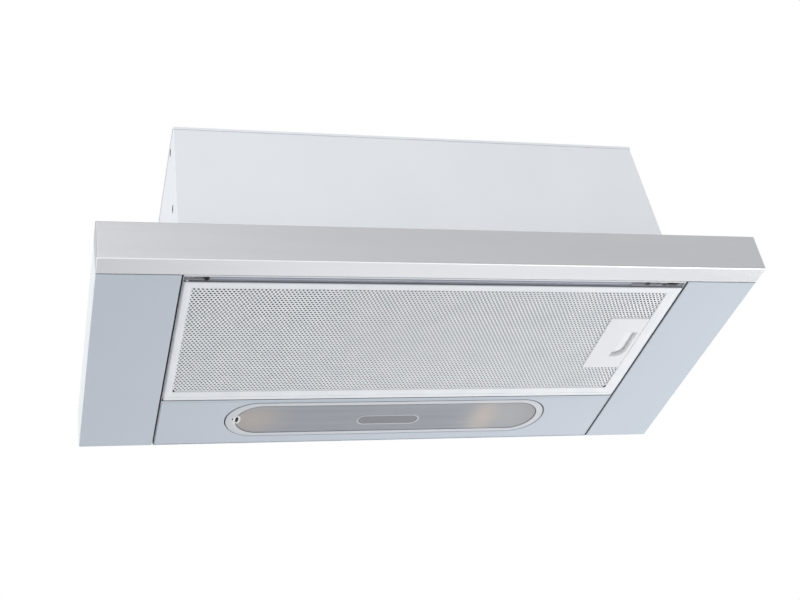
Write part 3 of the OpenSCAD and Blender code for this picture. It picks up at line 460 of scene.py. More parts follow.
def tone_group():
    """Slow changes of tone: a mix of two colours by broad noise of Scale patches to the metre."""
    tree, given, out = new_group("Uneven tone", [("Light", COLOUR, (1, 1, 1, 1)),
                                                 ("Dark", COLOUR, (0, 0, 0, 1)),
                                                 ("Scale", FLOAT, 12.0)], [("Color", COLOUR)])
    share = ramp(tree, noise(tree, coordinates(tree), given["Scale"], 3.0), 0.3, 0.7)
    feed(tree, out, {"Color": layered(tree, given["Dark"], share, given["Light"])})
    return tree


def grain_group():
    """Fine grain of a sprayed or moulded skin, as a height, and its uneven roughness."""
    tree, given, out = new_group("Fine grain", [("Scale", FLOAT, 900.0), ("Rough Low", FLOAT, 0.4),
                                                ("Rough High", FLOAT, 0.5)],
                                 [("Height", FLOAT), ("Roughness", FLOAT)])
    where = coordinates(tree)
    fine = noise(tree, where, given["Scale"], 2.0)
    broad = noise(tree, where, 30.0, 4.0)
    feed(tree, out, {"Height": fine,
                     "Roughness": ramp(tree, broad, 0.3, 0.7, given["Rough Low"], given["Rough High"])})
    return tree


def brushing_group():
    """Brush lines along x: noise whose coordinates are stretched, few to the metre along and many
    across, and its broader bands."""
    tree, given, out = new_group("Brush lines", [("Along", FLOAT, 6.0), ("Across", FLOAT, 2500.0)],
                                 [("Lines", FLOAT), ("Bands", FLOAT)])
    across = given["Across"]
    stretch = put(tree, "CombineXYZ", {"X": given["Along"], "Y": across, "Z": across}).outputs[0]
    pulled = vector_maths(tree, "MULTIPLY", coordinates(tree), stretch)[0]
    wide = vector_maths(tree, "MULTIPLY", pulled, (0.5, 0.04, 0.04))[0]
    feed(tree, out, {"Lines": noise(tree, pulled, 1.0, 3.0), "Bands": noise(tree, wide, 1.0, 2.0)})
    return tree


def edge_wear_and_sheen_group():
    """Mask of edges rubbed lighter, which also stand in as painted highlights: convex places by pointiness,
    broken up by noise.
    """
    tree, given, out = new_group("Edge rubbing and sheen", [("Amount", FLOAT, 0.5)], [("Mask", FLOAT)])
    edge = ramp(tree, put(tree, "NewGeometry").outputs["Pointiness"], 0.52, 0.62)
    broken = ramp(tree, noise(tree, coordinates(tree), 260.0, 4.0), 0.45, 0.65)
    rubbed = maths(tree, "MULTIPLY", edge, broken)
    feed(tree, out, {"Mask": maths(tree, "MULTIPLY", rubbed, given["Amount"])})
    return tree


def dust_group():
    """Mask of settled dust: faces that look up, by the normal's z, times patchy noise."""
    tree, given, out = new_group("Settled dust", [("Amount", FLOAT, 0.2)], [("Mask", FLOAT)])
    up = ramp(tree, split(tree, put(tree, "NewGeometry").outputs["Normal"])["Z"], 0.3, 1.0)
    patch = ramp(tree, noise(tree, coordinates(tree), 45.0, 6.0), 0.35, 0.7)
    lying = maths(tree, "MULTIPLY", up, patch)
    feed(tree, out, {"Mask": maths(tree, "MULTIPLY", lying, given["Amount"])})
    return tree


def bend_light_group():
    """Masks of painted light on the fold from the front to the underside, by s = -z of the normal, 0 on the
    front and 1 below: Dark is a band round s = 0.25 for a painted shade line, Bright a band from 0.5 to
    0.95 for a painted highlight along the fold, and Under the flat underside, for the tone it is painted
    for the light it gets."""
    tree, _, out = new_group("Painted fold light", [], [("Dark", FLOAT), ("Bright", FLOAT), ("Under", FLOAT)])
    down = maths(tree, "MULTIPLY", own_normal(tree)["Z"], -1.0)
    for name, rise, fall in (("Dark", (0.04, 0.16), (0.34, 0.5)), ("Bright", (0.42, 0.6), (0.92, 0.995))):
        band = maths(tree, "MULTIPLY", ramp(tree, down, *rise), ramp(tree, down, *fall, 1.0, 0.0))
        feed(tree, out, {name: band})
    feed(tree, out, {"Under": ramp(tree, down, 0.97, 0.995)})
    return tree


def side_group():
    """Mask of the upright faces: 1 where |x| of the normal is above 0.9, 0 below 0.6."""
    tree, _, out = new_group("Side faces", [], [("Mask", FLOAT)])
    feed(tree, out, {"Mask": ramp(tree, maths(tree, "ABSOLUTE", own_normal(tree)["X"]), 0.6, 0.9)})
    return tree


def spot_group():
    """Mask of a soft spot: a smooth fall from 1 to 0 as |(p - c) w| goes from 0 to Reach, with w
    weighing the distances along x and y."""
    tree, given, out = new_group("Soft spot", [("Middle", VECTOR, (0, 0, 0)), ("Weight", VECTOR, (1, 1, 0)),
                                               ("Reach", FLOAT, 0.05)], [("Mask", FLOAT)])
    apart = vector_maths(tree, "SUBTRACT", coordinates(tree), given["Middle"])[0]
    flat = vector_maths(tree, "MULTIPLY", apart, given["Weight"])[0]
    far = vector_maths(tree, "LENGTH", flat)["Value"]
    fall = ramp(tree, far, 0.0, given["Reach"], 1.0, 0.0, interpolation_type="SMOOTHSTEP")
    feed(tree, out, {"Mask": fall})
    return tree


TONE, GRAIN, BRUSHING, EDGE_WEAR_AND_SHEEN = tone_group(), grain_group(), brushing_group(), edge_wear_and_sheen_group()
DUST, PAINTED_BEND_LIGHT, SIDE_LIGHT_MASK, SPOT = dust_group(), bend_light_group(), side_group(), spot_group()
DUST_GREY = srgb(176, 172, 164)


def new_material(name):
    """A material, its tree and its shader."""
    material = bpy.data.materials.new(name)
    material.use_nodes = True
    return material, material.node_tree, material.node_tree.nodes["Principled BSDF"]


def coloured(material, colour_over):
    """Gives the base colour of a finished material to colour_over(tree, colour), and takes its result."""
    tree = material.node_tree
    shader = tree.nodes["Principled BSDF"]
    colour = shader.inputs["Base Color"].links[0].from_socket
    feed(tree, shader, {"Base Color": colour_over(tree, colour)})
    return material


def skin(name, light, dark, rough, tone=12.0, grain=900.0, height=0.02, metal=0.0, edge_wear_and_sheen=None,
         dust=0.15, **sockets):
    """A finish from its two tones, roughness range, tone patches and grain to the metre and grain height in
    mm, with edges lighter in a given colour, partly rubbing and partly painted highlight, and dust on what
    looks up."""
    material, tree, shader = new_material(name)
    colour = use(tree, TONE, Light=light, Dark=dark, Scale=tone)["Color"]
    if edge_wear_and_sheen:
        colour = layered(tree, colour, use(tree, EDGE_WEAR_AND_SHEEN, Amount=0.6)["Mask"], edge_wear_and_sheen)
    if dust:
        colour = layered(tree, colour, use(tree, DUST, Amount=dust)["Mask"], DUST_GREY)
    fine = use(tree, GRAIN, Scale=grain, Rough_Low=rough[0], Rough_High=rough[1])
    bump = put(tree, "Bump", {"Height": fine["Height"], "Strength": 0.6, "Distance": height * MM})
    feed(tree, shader, {"Base Color": colour, "Roughness": fine["Roughness"], "Normal": bump.outputs[0],
                        "Metallic": metal, **spaced(sockets)})
    return material


def brushed_skin(name, light, dark, rough, painted_fold_light, along=6.0, across=1400.0, height=0.0008):
    """Brushed metal: lines along x in tone, roughness and height, in broad bands, with painted light on the
    fold at the foot, a shade line above and a highlight below, and the underside painted in a tone of its
    own for the light it gets."""
    material, tree, shader = new_material(name)
    lines = use(tree, BRUSHING, Along=along, Across=across)
    share = ramp(tree, maths(tree, "ADD", lines["Lines"], lines["Bands"]), 0.7, 1.3)
    colour = layered(tree, dark, share, light)
    # painted light on the fold: shade line, highlight, and the underside's lit tone
    fold_light_masks = use(tree, PAINTED_BEND_LIGHT)
    for part, over in zip(("Dark", "Bright", "Under"), painted_fold_light):
        colour = layered(tree, colour, fold_light_masks[part], over)
    bump = put(tree, "Bump", {"Height": lines["Lines"], "Strength": 0.5, "Distance": height * MM})
    feed(tree, shader, {"Base Color": colour, "Roughness": ramp(tree, lines["Lines"], 0.3, 0.7, *rough),
                        "Normal": bump.outputs[0], "Metallic": 1.0})
    return material


def painted_body():
    """Fine matt white powder coat of the motor body."""
    return skin("Body powder coat", srgb(231, 234, 237), srgb(228, 231, 235), (0.5, 0.6), grain=1400.0,
                height=0.004)


def painted_pan():
    """Satin grey-blue paint of the underside; its upright sides are painted a whiter tone for the light
    they get from the side.
    """
    paint = skin("Underside paint", srgb(202, 210, 219), srgb(199, 207, 217), (0.42, 0.5), tone=5.0,
                 grain=1100.0, height=0.004)
    # painted light: the upright faces get a whiter tone
    white = srgb(229, 232, 235)
    return coloured(paint, lambda tree, colour: layered(tree, colour, use(tree, SIDE_LIGHT_MASK)["Mask"], white))


def fascia_steel():
    """Stainless steel of the fascia, brushed along its length; its foot's fold has a painted shade line and
    highlight, and its underside a lighter painted tone for the light it gets.
    """
    return brushed_skin("Brushed fascia steel", srgb(191, 192, 194), srgb(186, 187, 190), (0.36, 0.44),
                        (srgb(166, 167, 170), srgb(250, 250, 251), srgb(202, 203, 206)))


def zinc_steel():
    """Zinc plate with its faint spangle."""
    return skin("Zinc plate", srgb(196, 199, 203), srgb(170, 174, 180), (0.32, 0.48), tone=140.0,
                grain=500.0, height=0.01, metal=1.0)


def rail_paint():
    """Cool grey satin of the strip in front of the filter."""
    return skin("Rail paint", srgb(192, 195, 206), srgb(184, 187, 198), (0.4, 0.5), height=0.006)


def filter_aluminium():
    """Bright pressed aluminium."""
    return skin("Filter aluminium", srgb(242, 244, 246), srgb(235, 238, 242), (0.46, 0.58), tone=40.0,
                grain=700.0, height=0.004, metal=0.1, dust=0.1)


def filter_layers():
    """Expanded metal layers inside the filter, near black as painted shade for the dark inside the filter.
    """
    return skin("Filter layers in painted shade", srgb(42, 44, 48), srgb(22, 24, 28), (0.45, 0.65), tone=240.0,
                grain=420.0, height=0.2, metal=0.3)


def white_plastic():
    return skin("White moulding", srgb(240, 241, 242), srgb(235, 236, 238), (0.42, 0.52), grain=1600.0,
                height=0.015)


def grey_plastic():
    # mid grey, kept dark so the bar behind the fascia and the switch housing look shaded where they show in
    # gaps: partly the plastic's own colour, partly painted shade
    return skin("Grey moulding and gap shade", srgb(134, 137, 142), srgb(124, 127, 132), (0.45, 0.55), grain=1600.0,
                height=0.01)


def black_plastic():
    # lighter edges: partly rubbed, partly painted highlight
    return skin("Black moulding", srgb(44, 45, 48), srgb(34, 35, 38), (0.42, 0.55), grain=1600.0,
                height=0.02, edge_wear_and_sheen=srgb(84, 85, 88))


def nylon():
    return skin("Roller nylon", srgb(236, 234, 226), srgb(228, 225, 215), (0.35, 0.45), height=0.01)


def grommet_rubber():
    return skin("Grommet rubber", srgb(36, 36, 37), srgb(28, 28, 29), (0.7, 0.85), grain=1800.0,
                height=0.03)


def bare_steel():
    return skin("Turned steel", srgb(200, 201, 204), srgb(176, 177, 181), (0.25, 0.38), tone=90.0,
                grain=600.0, height=0.008, metal=1.0)


def black_screw():
    return skin("Blackened screw", srgb(38, 38, 40), srgb(26, 26, 28), (0.35, 0.5), height=0.01, metal=0.6)


def motor_iron():
    """Dull iron of the motor's core, with edges lighter, partly rubbed and partly painted highlight."""
    return skin("Motor iron", srgb(122, 124, 128), srgb(92, 94, 98), (0.45, 0.6), tone=60.0,
                grain=800.0, height=0.05, metal=0.7, edge_wear_and_sheen=srgb(160, 162, 165))


def lens_colours(tree, rim):
    """The lens's colours over that of its rim, by height: the face from 0.42 mm up, streaked lengthwise,
    with a painted glow in warmer tones where the bulbs lie behind it, and from 0.8 mm up the groove round
    it, with painted shade towards the round ends. Round the screw's slot the colour goes near white."""
    streaks = use(tree, BRUSHING, Along=4.0, Across=110.0)["Lines"]
    face = layered(tree, srgb(150, 154, 161), ramp(tree, streaks, 0.35, 0.65), srgb(162, 167, 174))
    middle_y = (FACE + LENS_Y) * MM
    # painted glow of the bulbs behind the lens, as spots of colour on its face
    bulb_glow_spots = [(-0.14, 1.2, 0.05, srgb(187, 179, 173)),       # x, weight across, reach and colour
             (0.12, 1.2, 0.06, srgb(181, 181, 183)),
             (0.1, 0.4, 0.022, srgb(199, 190, 183))]
    for x, across, reach, glow_colour in bulb_glow_spots:
        spot = use(tree, SPOT, Middle=(x, middle_y, 0), Weight=(1, across, 0), Reach=reach)["Mask"]
        face = layered(tree, face, spot, glow_colour)
    where = split(tree, coordinates(tree))
    # painted shade: the groove darkens towards the lens's round ends
    ends = ramp(tree, maths(tree, "ABSOLUTE", where["X"]), 0.112, 0.136)
    groove = layered(tree, face, ends, srgb(104, 104, 110))
    colour = rim
    for low, over in ((0.00042, face), (0.0008, groove)):
        colour = layered(tree, colour, ramp(tree, where["Z"], low, low + 0.00006), over)
    slot = (SLOT_X * MM, middle_y, 0)
    near_slot = use(tree, SPOT, Middle=slot, Weight=(1.6, 0.8, 0), Reach=0.008)["Mask"]
    return layered(tree, colour, ramp(tree, near_slot, 0.1, 0.3), srgb(252, 252, 252))


def lens_plastic():
    """Frosted lens moulding with a bright rim and a greyer sunk face."""
    frosted = skin("Frosted lens", srgb(226, 229, 233), srgb(219, 222, 227), (0.3, 0.4), tone=30.0,
                   grain=1200.0, height=0.004, dust=0, Transmission_Weight=0.12, IOR=1.45)
    return coloured(frosted, lens_colours)


def bulb_glass():
    return skin("Bulb glass", srgb(252, 246, 232), srgb(247, 238, 220), (0.04, 0.1), tone=30.0,
                grain=300.0, height=0.005, dust=0, Transmission_Weight=0.4, IOR=1.45)


SLOTS = {f.__name__: f() for f in (
    painted_body, painted_pan, fascia_steel, zinc_steel, rail_paint, filter_aluminium, filter_layers,
    white_plastic, grey_plastic, black_plastic, nylon, grommet_rubber, bare_steel, black_screw,
    motor_iron, lens_plastic, bulb_glass)}


# ---- Fascia and drawer ----

GAP_BACK = 21.5                           # back face of the bar behind the fascia
TRAY_IN = HALF - 69.5                     # inner edge of the side trays
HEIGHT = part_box("fascia")[1].z / MM       # of the fascia and the side trays


def fascia_skin():
    """Rounded box open to the back: rounded rectangles in x and z over the depth, drawn in round
    the front edge, then again t inside for the inner face."""
    t, bend, corner, depth = 0.9, 1.3, 0.8, 20.4

    def face(inset, r):
        rows = [(inset, depth)] + [(inset + r * c, inset + r * s) for c, s in quarter(6)]
        return [np.insert(rounded_rect(-HALF + i, HALF - i, i, HEIGHT - i, max(corner - i / 2, 0.2)),
                          1, y, axis=1) for i, y in rows]

    box = loft(face(t, bend - t)[::-1] + face(0.0, bend))
    add("fascia_skin", box, "drawer", "fascia_steel", ["fascia"])


def side_tray():
    """Tray folded from one sheet, with a closing plate at each end, for the right side."""
    x0, x1, t = TRAY_IN, HALF, SHEET + 0.05
    shell = folded([(x0, 6), (x0, 0), (x1, 0), (x1, HEIGHT), (x1 - 14, HEIGHT)], (GAP_BACK, BACK), 1)
    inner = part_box("runner_right")[1].x / MM       # right edge of the runner's foot
    plates = [carried(rounded_rect(left, x1 - t, t, HEIGHT - t, 1.0), (y, y + SHEET), 1)
              for left, y in ((inner - 11.4, BACK - t), (inner + 0.6, GAP_BACK + 0.05))]
    return joined(shell, *plates)


def shade_strip(x0, x1, d0, d1, z0, z1):
    """Straight strip with rounded edges, along the longer of its two level sides; the strips made with it
    are dark pieces of painted shade in gaps between parts.
    """
    if x1 - x0 > d1 - d0:
        return carried(rounded_rect(d0, d1, z0, z1, 0.15, n=3), (x0, x1), 0)
    return carried(rounded_rect(x0, x1, z0, z1, 0.15, n=3), (d0, d1), 1)


def drawer():
    fascia_skin()
    # painted shade: a dark strip in the gap behind the fascia's lip
    lip_gap_shade = shade_strip(TRAY_IN, HALF - 1.2, 20.45, GAP_BACK, 0.8, 3)
    add("fascia_gap_shade", joined(lip_gap_shade, mirrored(lip_gap_shade)), "drawer", "grommet_rubber")
    right = side_tray()
    add("side_tray_right_skin", right, "drawer", "painted_pan", ["side_tray_right"])
    add("side_tray_left_skin", mirrored(right), "drawer", "painted_pan", ["side_tray_left"])


# ---- Pan, rail and motor body ----

PAN_X = HALF - 70.4                       # outside of the pan's side walls
PAN_IN = PAN_X - SHEET
LENS_C = 133.5                            # distance of the lens's round ends' centres from x = 0
LENS_R = 30.0                             # and their radius


def pan_plate():
    """Rear plate with a turned up edge all round and a rolled hole for the lens: one ring shaped
    loft out along the lower face and back along the upper one."""
    x, y0, y1, t = PAN_IN - 0.05, 219.2, BACK - 0.85, SHEET
    up, r = 10.0, 1.2                         # height of the plate's edge, and its bend
    gap, rolled = 0.7, 6.0                    # round the lens, and height of the hole's edge

    def box(i, z):
        return level(stadium_box(-LENS_C, LENS_C, -x + i, x - i, y0 + i, y1 - i), z)

    def hole(grow, z):
        outline = stadium(-LENS_C - 0.4, LENS_C + 0.4, LENS_R + grow, LENS_Y)
        passed = (outline[:, 0] > 140) & (abs(outline[:, 1] - LENS_Y) < 7)     # by the lens's arm
        return level(outline, np.where(passed, np.minimum(z, 1.3), z))

    outer = [(r * c, r * s) for c, s in quarter(5)]                          # inset, height
    inner = [(t + (r - t) * c, t + (r - t) * s) for c, s in quarter(5)]
    rings = [box(0, up)] + [box(*p) for p in outer]
    rings += [hole(gap + i, z) for i, z in outer[::-1]] + [hole(gap, rolled)]
    rings += [hole(gap + t, rolled)] + [hole(gap + i, z) for i, z in inner]
    rings += [box(*p) for p in inner[::-1]] + [box(t, up)]
    return loft(rings, ring_shaped=True)


def underside_pan():
    """Side walls with their top flange, back wall, hem strip behind the filter, the plate and the
    two ears for the lens's pegs."""
    wall = folded([(PAN_X, 0.8), (PAN_X, HEIGHT), (PAN_X - 14, HEIGHT)], (35, BACK - 0.85), 1)
    front = carried(rounded_rect(PAN_IN, PAN_X, 0.8, HEIGHT, 0.3, n=3), (22, 35), 1)
    back = folded([(BACK, 0), (BACK, HEIGHT), (BACK - 14, HEIGHT)], (-PAN_X, PAN_X), 0)
    hem = folded([(218.8, 0), (216, 0), (216, 10)][::-1], (-PAN_IN + 0.05, PAN_IN - 0.05), 0, r=0.5)
    ears = [carried(softened(rect(165, 168.5, 0.9, 6), 0.6), (y, y + 3), 1) for y in (243, 260)]
    pan = joined(wall, mirrored(wall), front, mirrored(front), back, hem, pan_plate(), *ears)
    add("underside_pan_skin", pan, "hood", "painted_pan", ["underside_pan"])


def pan_gap_shades():
    """Strips of painted shade in the gaps: dark ones by the pan's side edges, beside the drawer's trays,
    and behind the filter, and a grey one in front of the filter."""
    left = shade_strip(-TRAY_IN + 0.45, -PAN_X + 0.25, 22.2, BACK - 1, 0.1, 3)
    right = shade_strip(PAN_X - 0.15, TRAY_IN - 0.3, 22.2, BACK - 1, 0.1, 3)
    rear = shade_strip(-PAN_IN + 0.1, PAN_IN - 0.1, FILTER_Y[1] + 0.05, 215.98, 0.1, 3)
    front = shade_strip(-PAN_IN + 0.1, PAN_IN - 0.1, 31.02, FILTER_Y[0] - 0.06, 0.9, 2.2)
    add("pan_edge_shade_strips", joined(left, right, rear), "hood", "grommet_rubber")
    add("filter_front_shade_strip", front, "hood", "grey_plastic")


def front_rail():
    """Channel in front of the filter with two grooves pressed along it and a light bead along its front;
    along the switches only its back leg and the bead go on. At the left a dark wedge of painted shadow and
    a ramp taper towards the screw."""
    stop = 175.7                              # where the switches' stretch begins
    channel = folded([(22, 9.5), (22, 2), (24.4, 2), (25, 3.4), (27.2, 3.4), (27.7, 2.2), (29.2, 2.2),
                      (29.7, 3.8), (31, 3.8), (31, 9.5)], (-PAN_IN, stop), 0, t=0.4, r=0.15)
    bead = carried(rounded_rect(22.3, 24.4, 0.9, 2.1, 0.5, n=4), (-PAN_IN, PAN_IN), 0)
    leg = carried(rounded_rect(30.2, 31, 2, 9.5, 0.2, n=3), (stop, PAN_IN), 0)
    x0, x1 = -PAN_IN + 0.15, -211.6
    gap = carried([(x0, 24.5), (x1, 26.5), (x1, 27.1), (x0, 29.0)], (1.75, 2.0), 2)
    ramp = carried([(x0, 29.1), (x1, 27.2), (x1, 29.0), (x0, 30.5)], (1.55, 2.0), 2)
    add("front_rail_skin", joined(channel, leg), "hood", "rail_paint", ["front_rail"])
    add("front_rail_bead", bead, "hood", "painted_body")
    # painted shadow: a dark wedge at the rail's left end
    add("front_rail_shadow", gap, "hood", "motor_iron")
    add("front_rail_ramp", ramp, "hood", "grey_plastic")


FOOT_X, TOP_X = PAN_X + 0.4, PAN_X - 4.0
SHELL_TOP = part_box("body_shell")[1].z / MM
BODY_FRONT = 35.0
FIXING_R = 4                              # radius of the holes for fixing it to the cabinet
FIXING_Y, FIXING_Z = (61, 241), (102.5, 168.5)
DUCT_R, DUCT_Y = 58, 166.0                # the duct's radius, and its middle front to back


def body_shell():
    """Four walls, of which the sides lean in: rounded rectangles whose half width falls in line
    with height, with a joining flange turned in at the foot. The round holes for fixing it to the
    cabinet open wider towards the inside."""
    lean = (FOOT_X - TOP_X) / (SHELL_TOP + SHEET - HEIGHT)

    def ring(inset, z, r=0.7):
        w = FOOT_X - lean * (z - HEIGHT) - inset
        return level(rounded_rect(-w, w, BODY_FRONT + inset, BACK - inset, max(r, 0.3), n=6), z)

    rings = [ring(14, HEIGHT)] + [ring(s, HEIGHT + c) for c, s in quarter(4)]
    rings += [ring(0, SHELL_TOP), ring(SHEET, SHELL_TOP, 0.4), ring(SHEET, HEIGHT + SHEET, 0.4),
              ring(14, HEIGHT + SHEET)]
    holes, r = [], FIXING_R
    for z in FIXING_Z:
        w = FOOT_X - lean * (z - HEIGHT)
        profile = [(r, w + 2), (r, w - 0.2), (r + 2, w - SHEET - 0.3), (r + 2, w - 3), (0.02, w - 3),
                   (0.02, w + 2)]
        holes += [turned(profile, (0, y, z), 0, 24) for y in FIXING_Y]
    holes += [mirrored(hole) for hole in holes]
    walls = carve(loft(rings, ring_shaped=True), holes)
    add("body_shell_skin", walls, "hood", "painted_body", ["body_shell"], sharp=28)


def bead(x, y0, y1, z):
    """Pressed bead, a long low hump, in rings 3.8 cos a + 0.05 from its middle line at 2.4 sin a."""
    rows = []
    for a in np.linspace(0, 1, 7) * TAU / 4:
        outline = stadium(-(y1 - y0) / 2, (y1 - y0) / 2, 3.8 * math.cos(a) + 0.05, 0, n=5, k=2)
        rows.append(level(outline[:, ::-1] * [-1, 1] + [x, (y0 + y1) / 2], z + 2.4 * math.sin(a)))
    return loft(rows)


def top_panel():
    """Lid round the duct's hole, with its rim turned down, over the front and the side walls, and
    three pressed beads."""
    t, top = 0.6, SHELL_TOP + SHEET
    over, y0 = TOP_X + 0.03 + t, BODY_FRONT - t
    centre = np.array([0.0, DUCT_Y])

    def rim(inset, z):
        r = max(1.1 - inset, 0.4)
        outline = rounded_rect(-over + inset, over - inset, y0 + inset, BACK - 0.02 - inset, r, side=11)
        return level(outline, z)

    def hole(z):
        way = rim(2, 0)[:, :2] - centre
        return level(centre + (DUCT_R + 0.4) * way / np.linalg.norm(way, axis=1)[:, None], z)

    rings = [rim(0, top - 3.2)] + [rim(c, top - s) for c, s in quarter(5)]
    rings += [hole(top), hole(SHELL_TOP), rim(t + 0.4, SHELL_TOP), rim(t, SHELL_TOP - 0.4)]
    rings += [rim(t, top - 3.2)]
    beads = [bead(x, BODY_FRONT + 30, BACK - 40, top - 0.1) for x in (-160, -110, 110)]
    lid = joined(loft(rings, ring_shaped=True), *beads)
    add("top_panel_skin", lid, "hood", "painted_body", ["top_panel"])


def outlet_collar():
    """Turned collar with a rounded lip, three grip rings, a foot ring and a ledge for the flaps,
    and two bosses that hold the flaps' pin."""
    z, r, out = SHELL_TOP + SHEET, DUCT_R, 59.6
    wall = [(r, 0), (74, 0), (74, 2.0), (73.5, 2.5), (61.2, 2.5), (out, 4.0)]
    for h in (14, 18, 22):
        wall += [(out, h - 0.9), (60, h - 0.5), (60, h + 0.5), (out, h + 0.9)]
    wall += [(out, 27.6), (60, 28.2), (60, 29.4), (59.4, 30), (58.6, 30), (r, 29.4),
             (r, 7.2), (54.5, 7.2), (54.5, 5.2), (r, 5.2)]
    body = turned([(w, z + h) for w, h in wall], (0, DUCT_Y, 0), 2, n=96)
    boss = carried(softened(rect(r - 4, r + 0.8, DUCT_Y - 3, DUCT_Y + 3), 0.8), (z + 5, z + 11), 2)
    collar = joined(body, boss, mirrored(boss))
    add("outlet_collar_skin", collar, "hood", "black_plastic", ["outlet_collar"], sharp=40)


# ---- Grease filter ----

FILTER_X = PAN_IN - 0.4
FILTER_Y = (31.5, 215.3)
FILTER_TOP = 8.6
BORDER = np.array([7.9, 8.5, 11.9, 13.8])     # left, front, right, rear
SHEET_Z = 1.4                                 # lower face of the punched sheet
HOLE = 1.15                                   # radius of its holes
BOLT_Y = (117, 127)                           # the latch's bolt, front to back


def filter_border():
    """Frame rolled from sheet: rounded rectangles drawn in by a different amount at each side,
    round the outer bend, out to the window's turned up edge, and back inside. The rear side has a
    groove pressed along it, and the right side a notch that the latch's bolt passes."""
    bend = np.array([2.9, 0.8, 0.6, 0.8])
    t = SHEET

    def ring(inset, z):
        i = np.broadcast_to(np.asarray(inset, float), 4)
        x0, x1 = -FILTER_X + i[0], FILTER_X - i[2]
        y0, y1 = FILTER_Y[0] + i[1], FILTER_Y[1] - i[3]
        outline = rounded_rect(x0, x1, y0, y1, 1.2 if i.max() < 7 else 0.6, n=5)
        z = np.broadcast_to(np.asarray(z, float), 4)
        x, y = outline.T
        nearest = np.stack([x - x0, y - y0, x1 - x, y1 - y], 1).argmin(1)
        return level(outline, z[nearest])

    rings = [ring(6.0, FILTER_TOP), ring(0.9, FILTER_TOP), ring(0.3, FILTER_TOP - 0.3)]
    rings += [ring(0, FILTER_TOP - 0.9)] + [ring(bend * c, bend * s) for c, s in quarter(7)]
    rings += [ring(bend + (BORDER - bend) * share, [0, 0, 0, h])
              for share, h in ((0.33, 0), (0.35, 0.5), (0.38, 0.5), (0.4, 0))]
    rings += [ring(BORDER - 0.5 * (1 - c), 0.5 * s) for c, s in quarter(7)[:4]]
    rings += [ring(BORDER, 0.5), ring(BORDER, SHEET_Z - 0.05), ring(BORDER - 0.6, SHEET_Z - 0.05),
              ring(BORDER - 0.6, t), ring(bend + 0.2, t), ring(t, bend + 0.2),
              ring(t, FILTER_TOP - t), ring(6.0, FILTER_TOP - t)]
    notch = carried(rect(FILTER_X - 4.8, FILTER_X + 1, 0.8, 10), (BOLT_Y[0] - 3, BOLT_Y[1] + 3), 1)
    border = carve(loft(rings, ring_shaped=True), [notch])
    peg = [(0.02, -2), (1.6, -2), (2, -1.6), (2, 0.8), (0.02, 0.8)]
    pegs = [turned([(r, y + way * h) for r, h in peg], (-FILTER_X + 2.9, 0, 3.0), 1, 20, False)
            for y, way in zip(FILTER_Y, (1, -1))]
    add("filter_border", border, "grease_filter", "filter_aluminium", ["filter_frame"], sharp=30)
    add("filter_pegs", joined(*pegs), "grease_filter", "bare_steel")


def punched_sheets():
    """The grease filter's punched sheet and the drawer filter's, each in two halves."""
    x0, x1 = -FILTER_X + BORDER[0] - 3, FILTER_X - BORDER[2] + 3
    y0, y1 = FILTER_Y[0] + BORDER[1] - 3, FILTER_Y[1] - BORDER[3] + 3
    left, right = punched((x0, x1, y0, y1), SHEET_Z, 0.6, HOLE, skip=(188, 214.5, 101, 146))
    add("filter_sheet_left", left, "grease_filter", "filter_aluminium", ["filter_mesh"])
    add("filter_sheet_right", right, "grease_filter", "filter_aluminium")
    low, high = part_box("drawer_filter_frame")
    low, high = low / MM, high / MM
    z = low.z + SHEET
    window = (low.x + 6, high.x - 6, low.y - FACE + 6, high.y - FACE - 6)
    left, right = punched(window, z, 0.6, HOLE)
    add("drawer_filter_sheet_left", left, "drawer", "filter_aluminium", ["drawer_filter_mesh"])
    add("drawer_filter_sheet_right", right, "drawer", "filter_aluminium")


def painted_corner_shade():
    """Dark wedges in the window's rear corners: painted shade at the punched sheet, in the filter layers'
    colour.
    """
    x0, x1, y = -FILTER_X + BORDER[0], FILTER_X - BORDER[2], FILTER_Y[1] - BORDER[3]
    heights = (SHEET_Z - 0.25, SHEET_Z + 0.2)
    left = carried([(x0 - 0.1, y + 0.1), (x0 - 0.1, y - 3.4), (x0 + 2.8, y + 0.1)], heights, 2)
    right = carried([(x1 + 0.1, y + 0.1), (x1 - 3.2, y + 0.1), (x1 + 0.1, y - 3.0)], heights, 2)
    add("filter_corner_painted_shade", joined(left, right), "grease_filter", "filter_layers")


LATCH = (176.5, 215.2, 80.5, 163.0)          # x from and to, d from and to
RECESS = (197.0, 212.0, 103.0, 144.0)


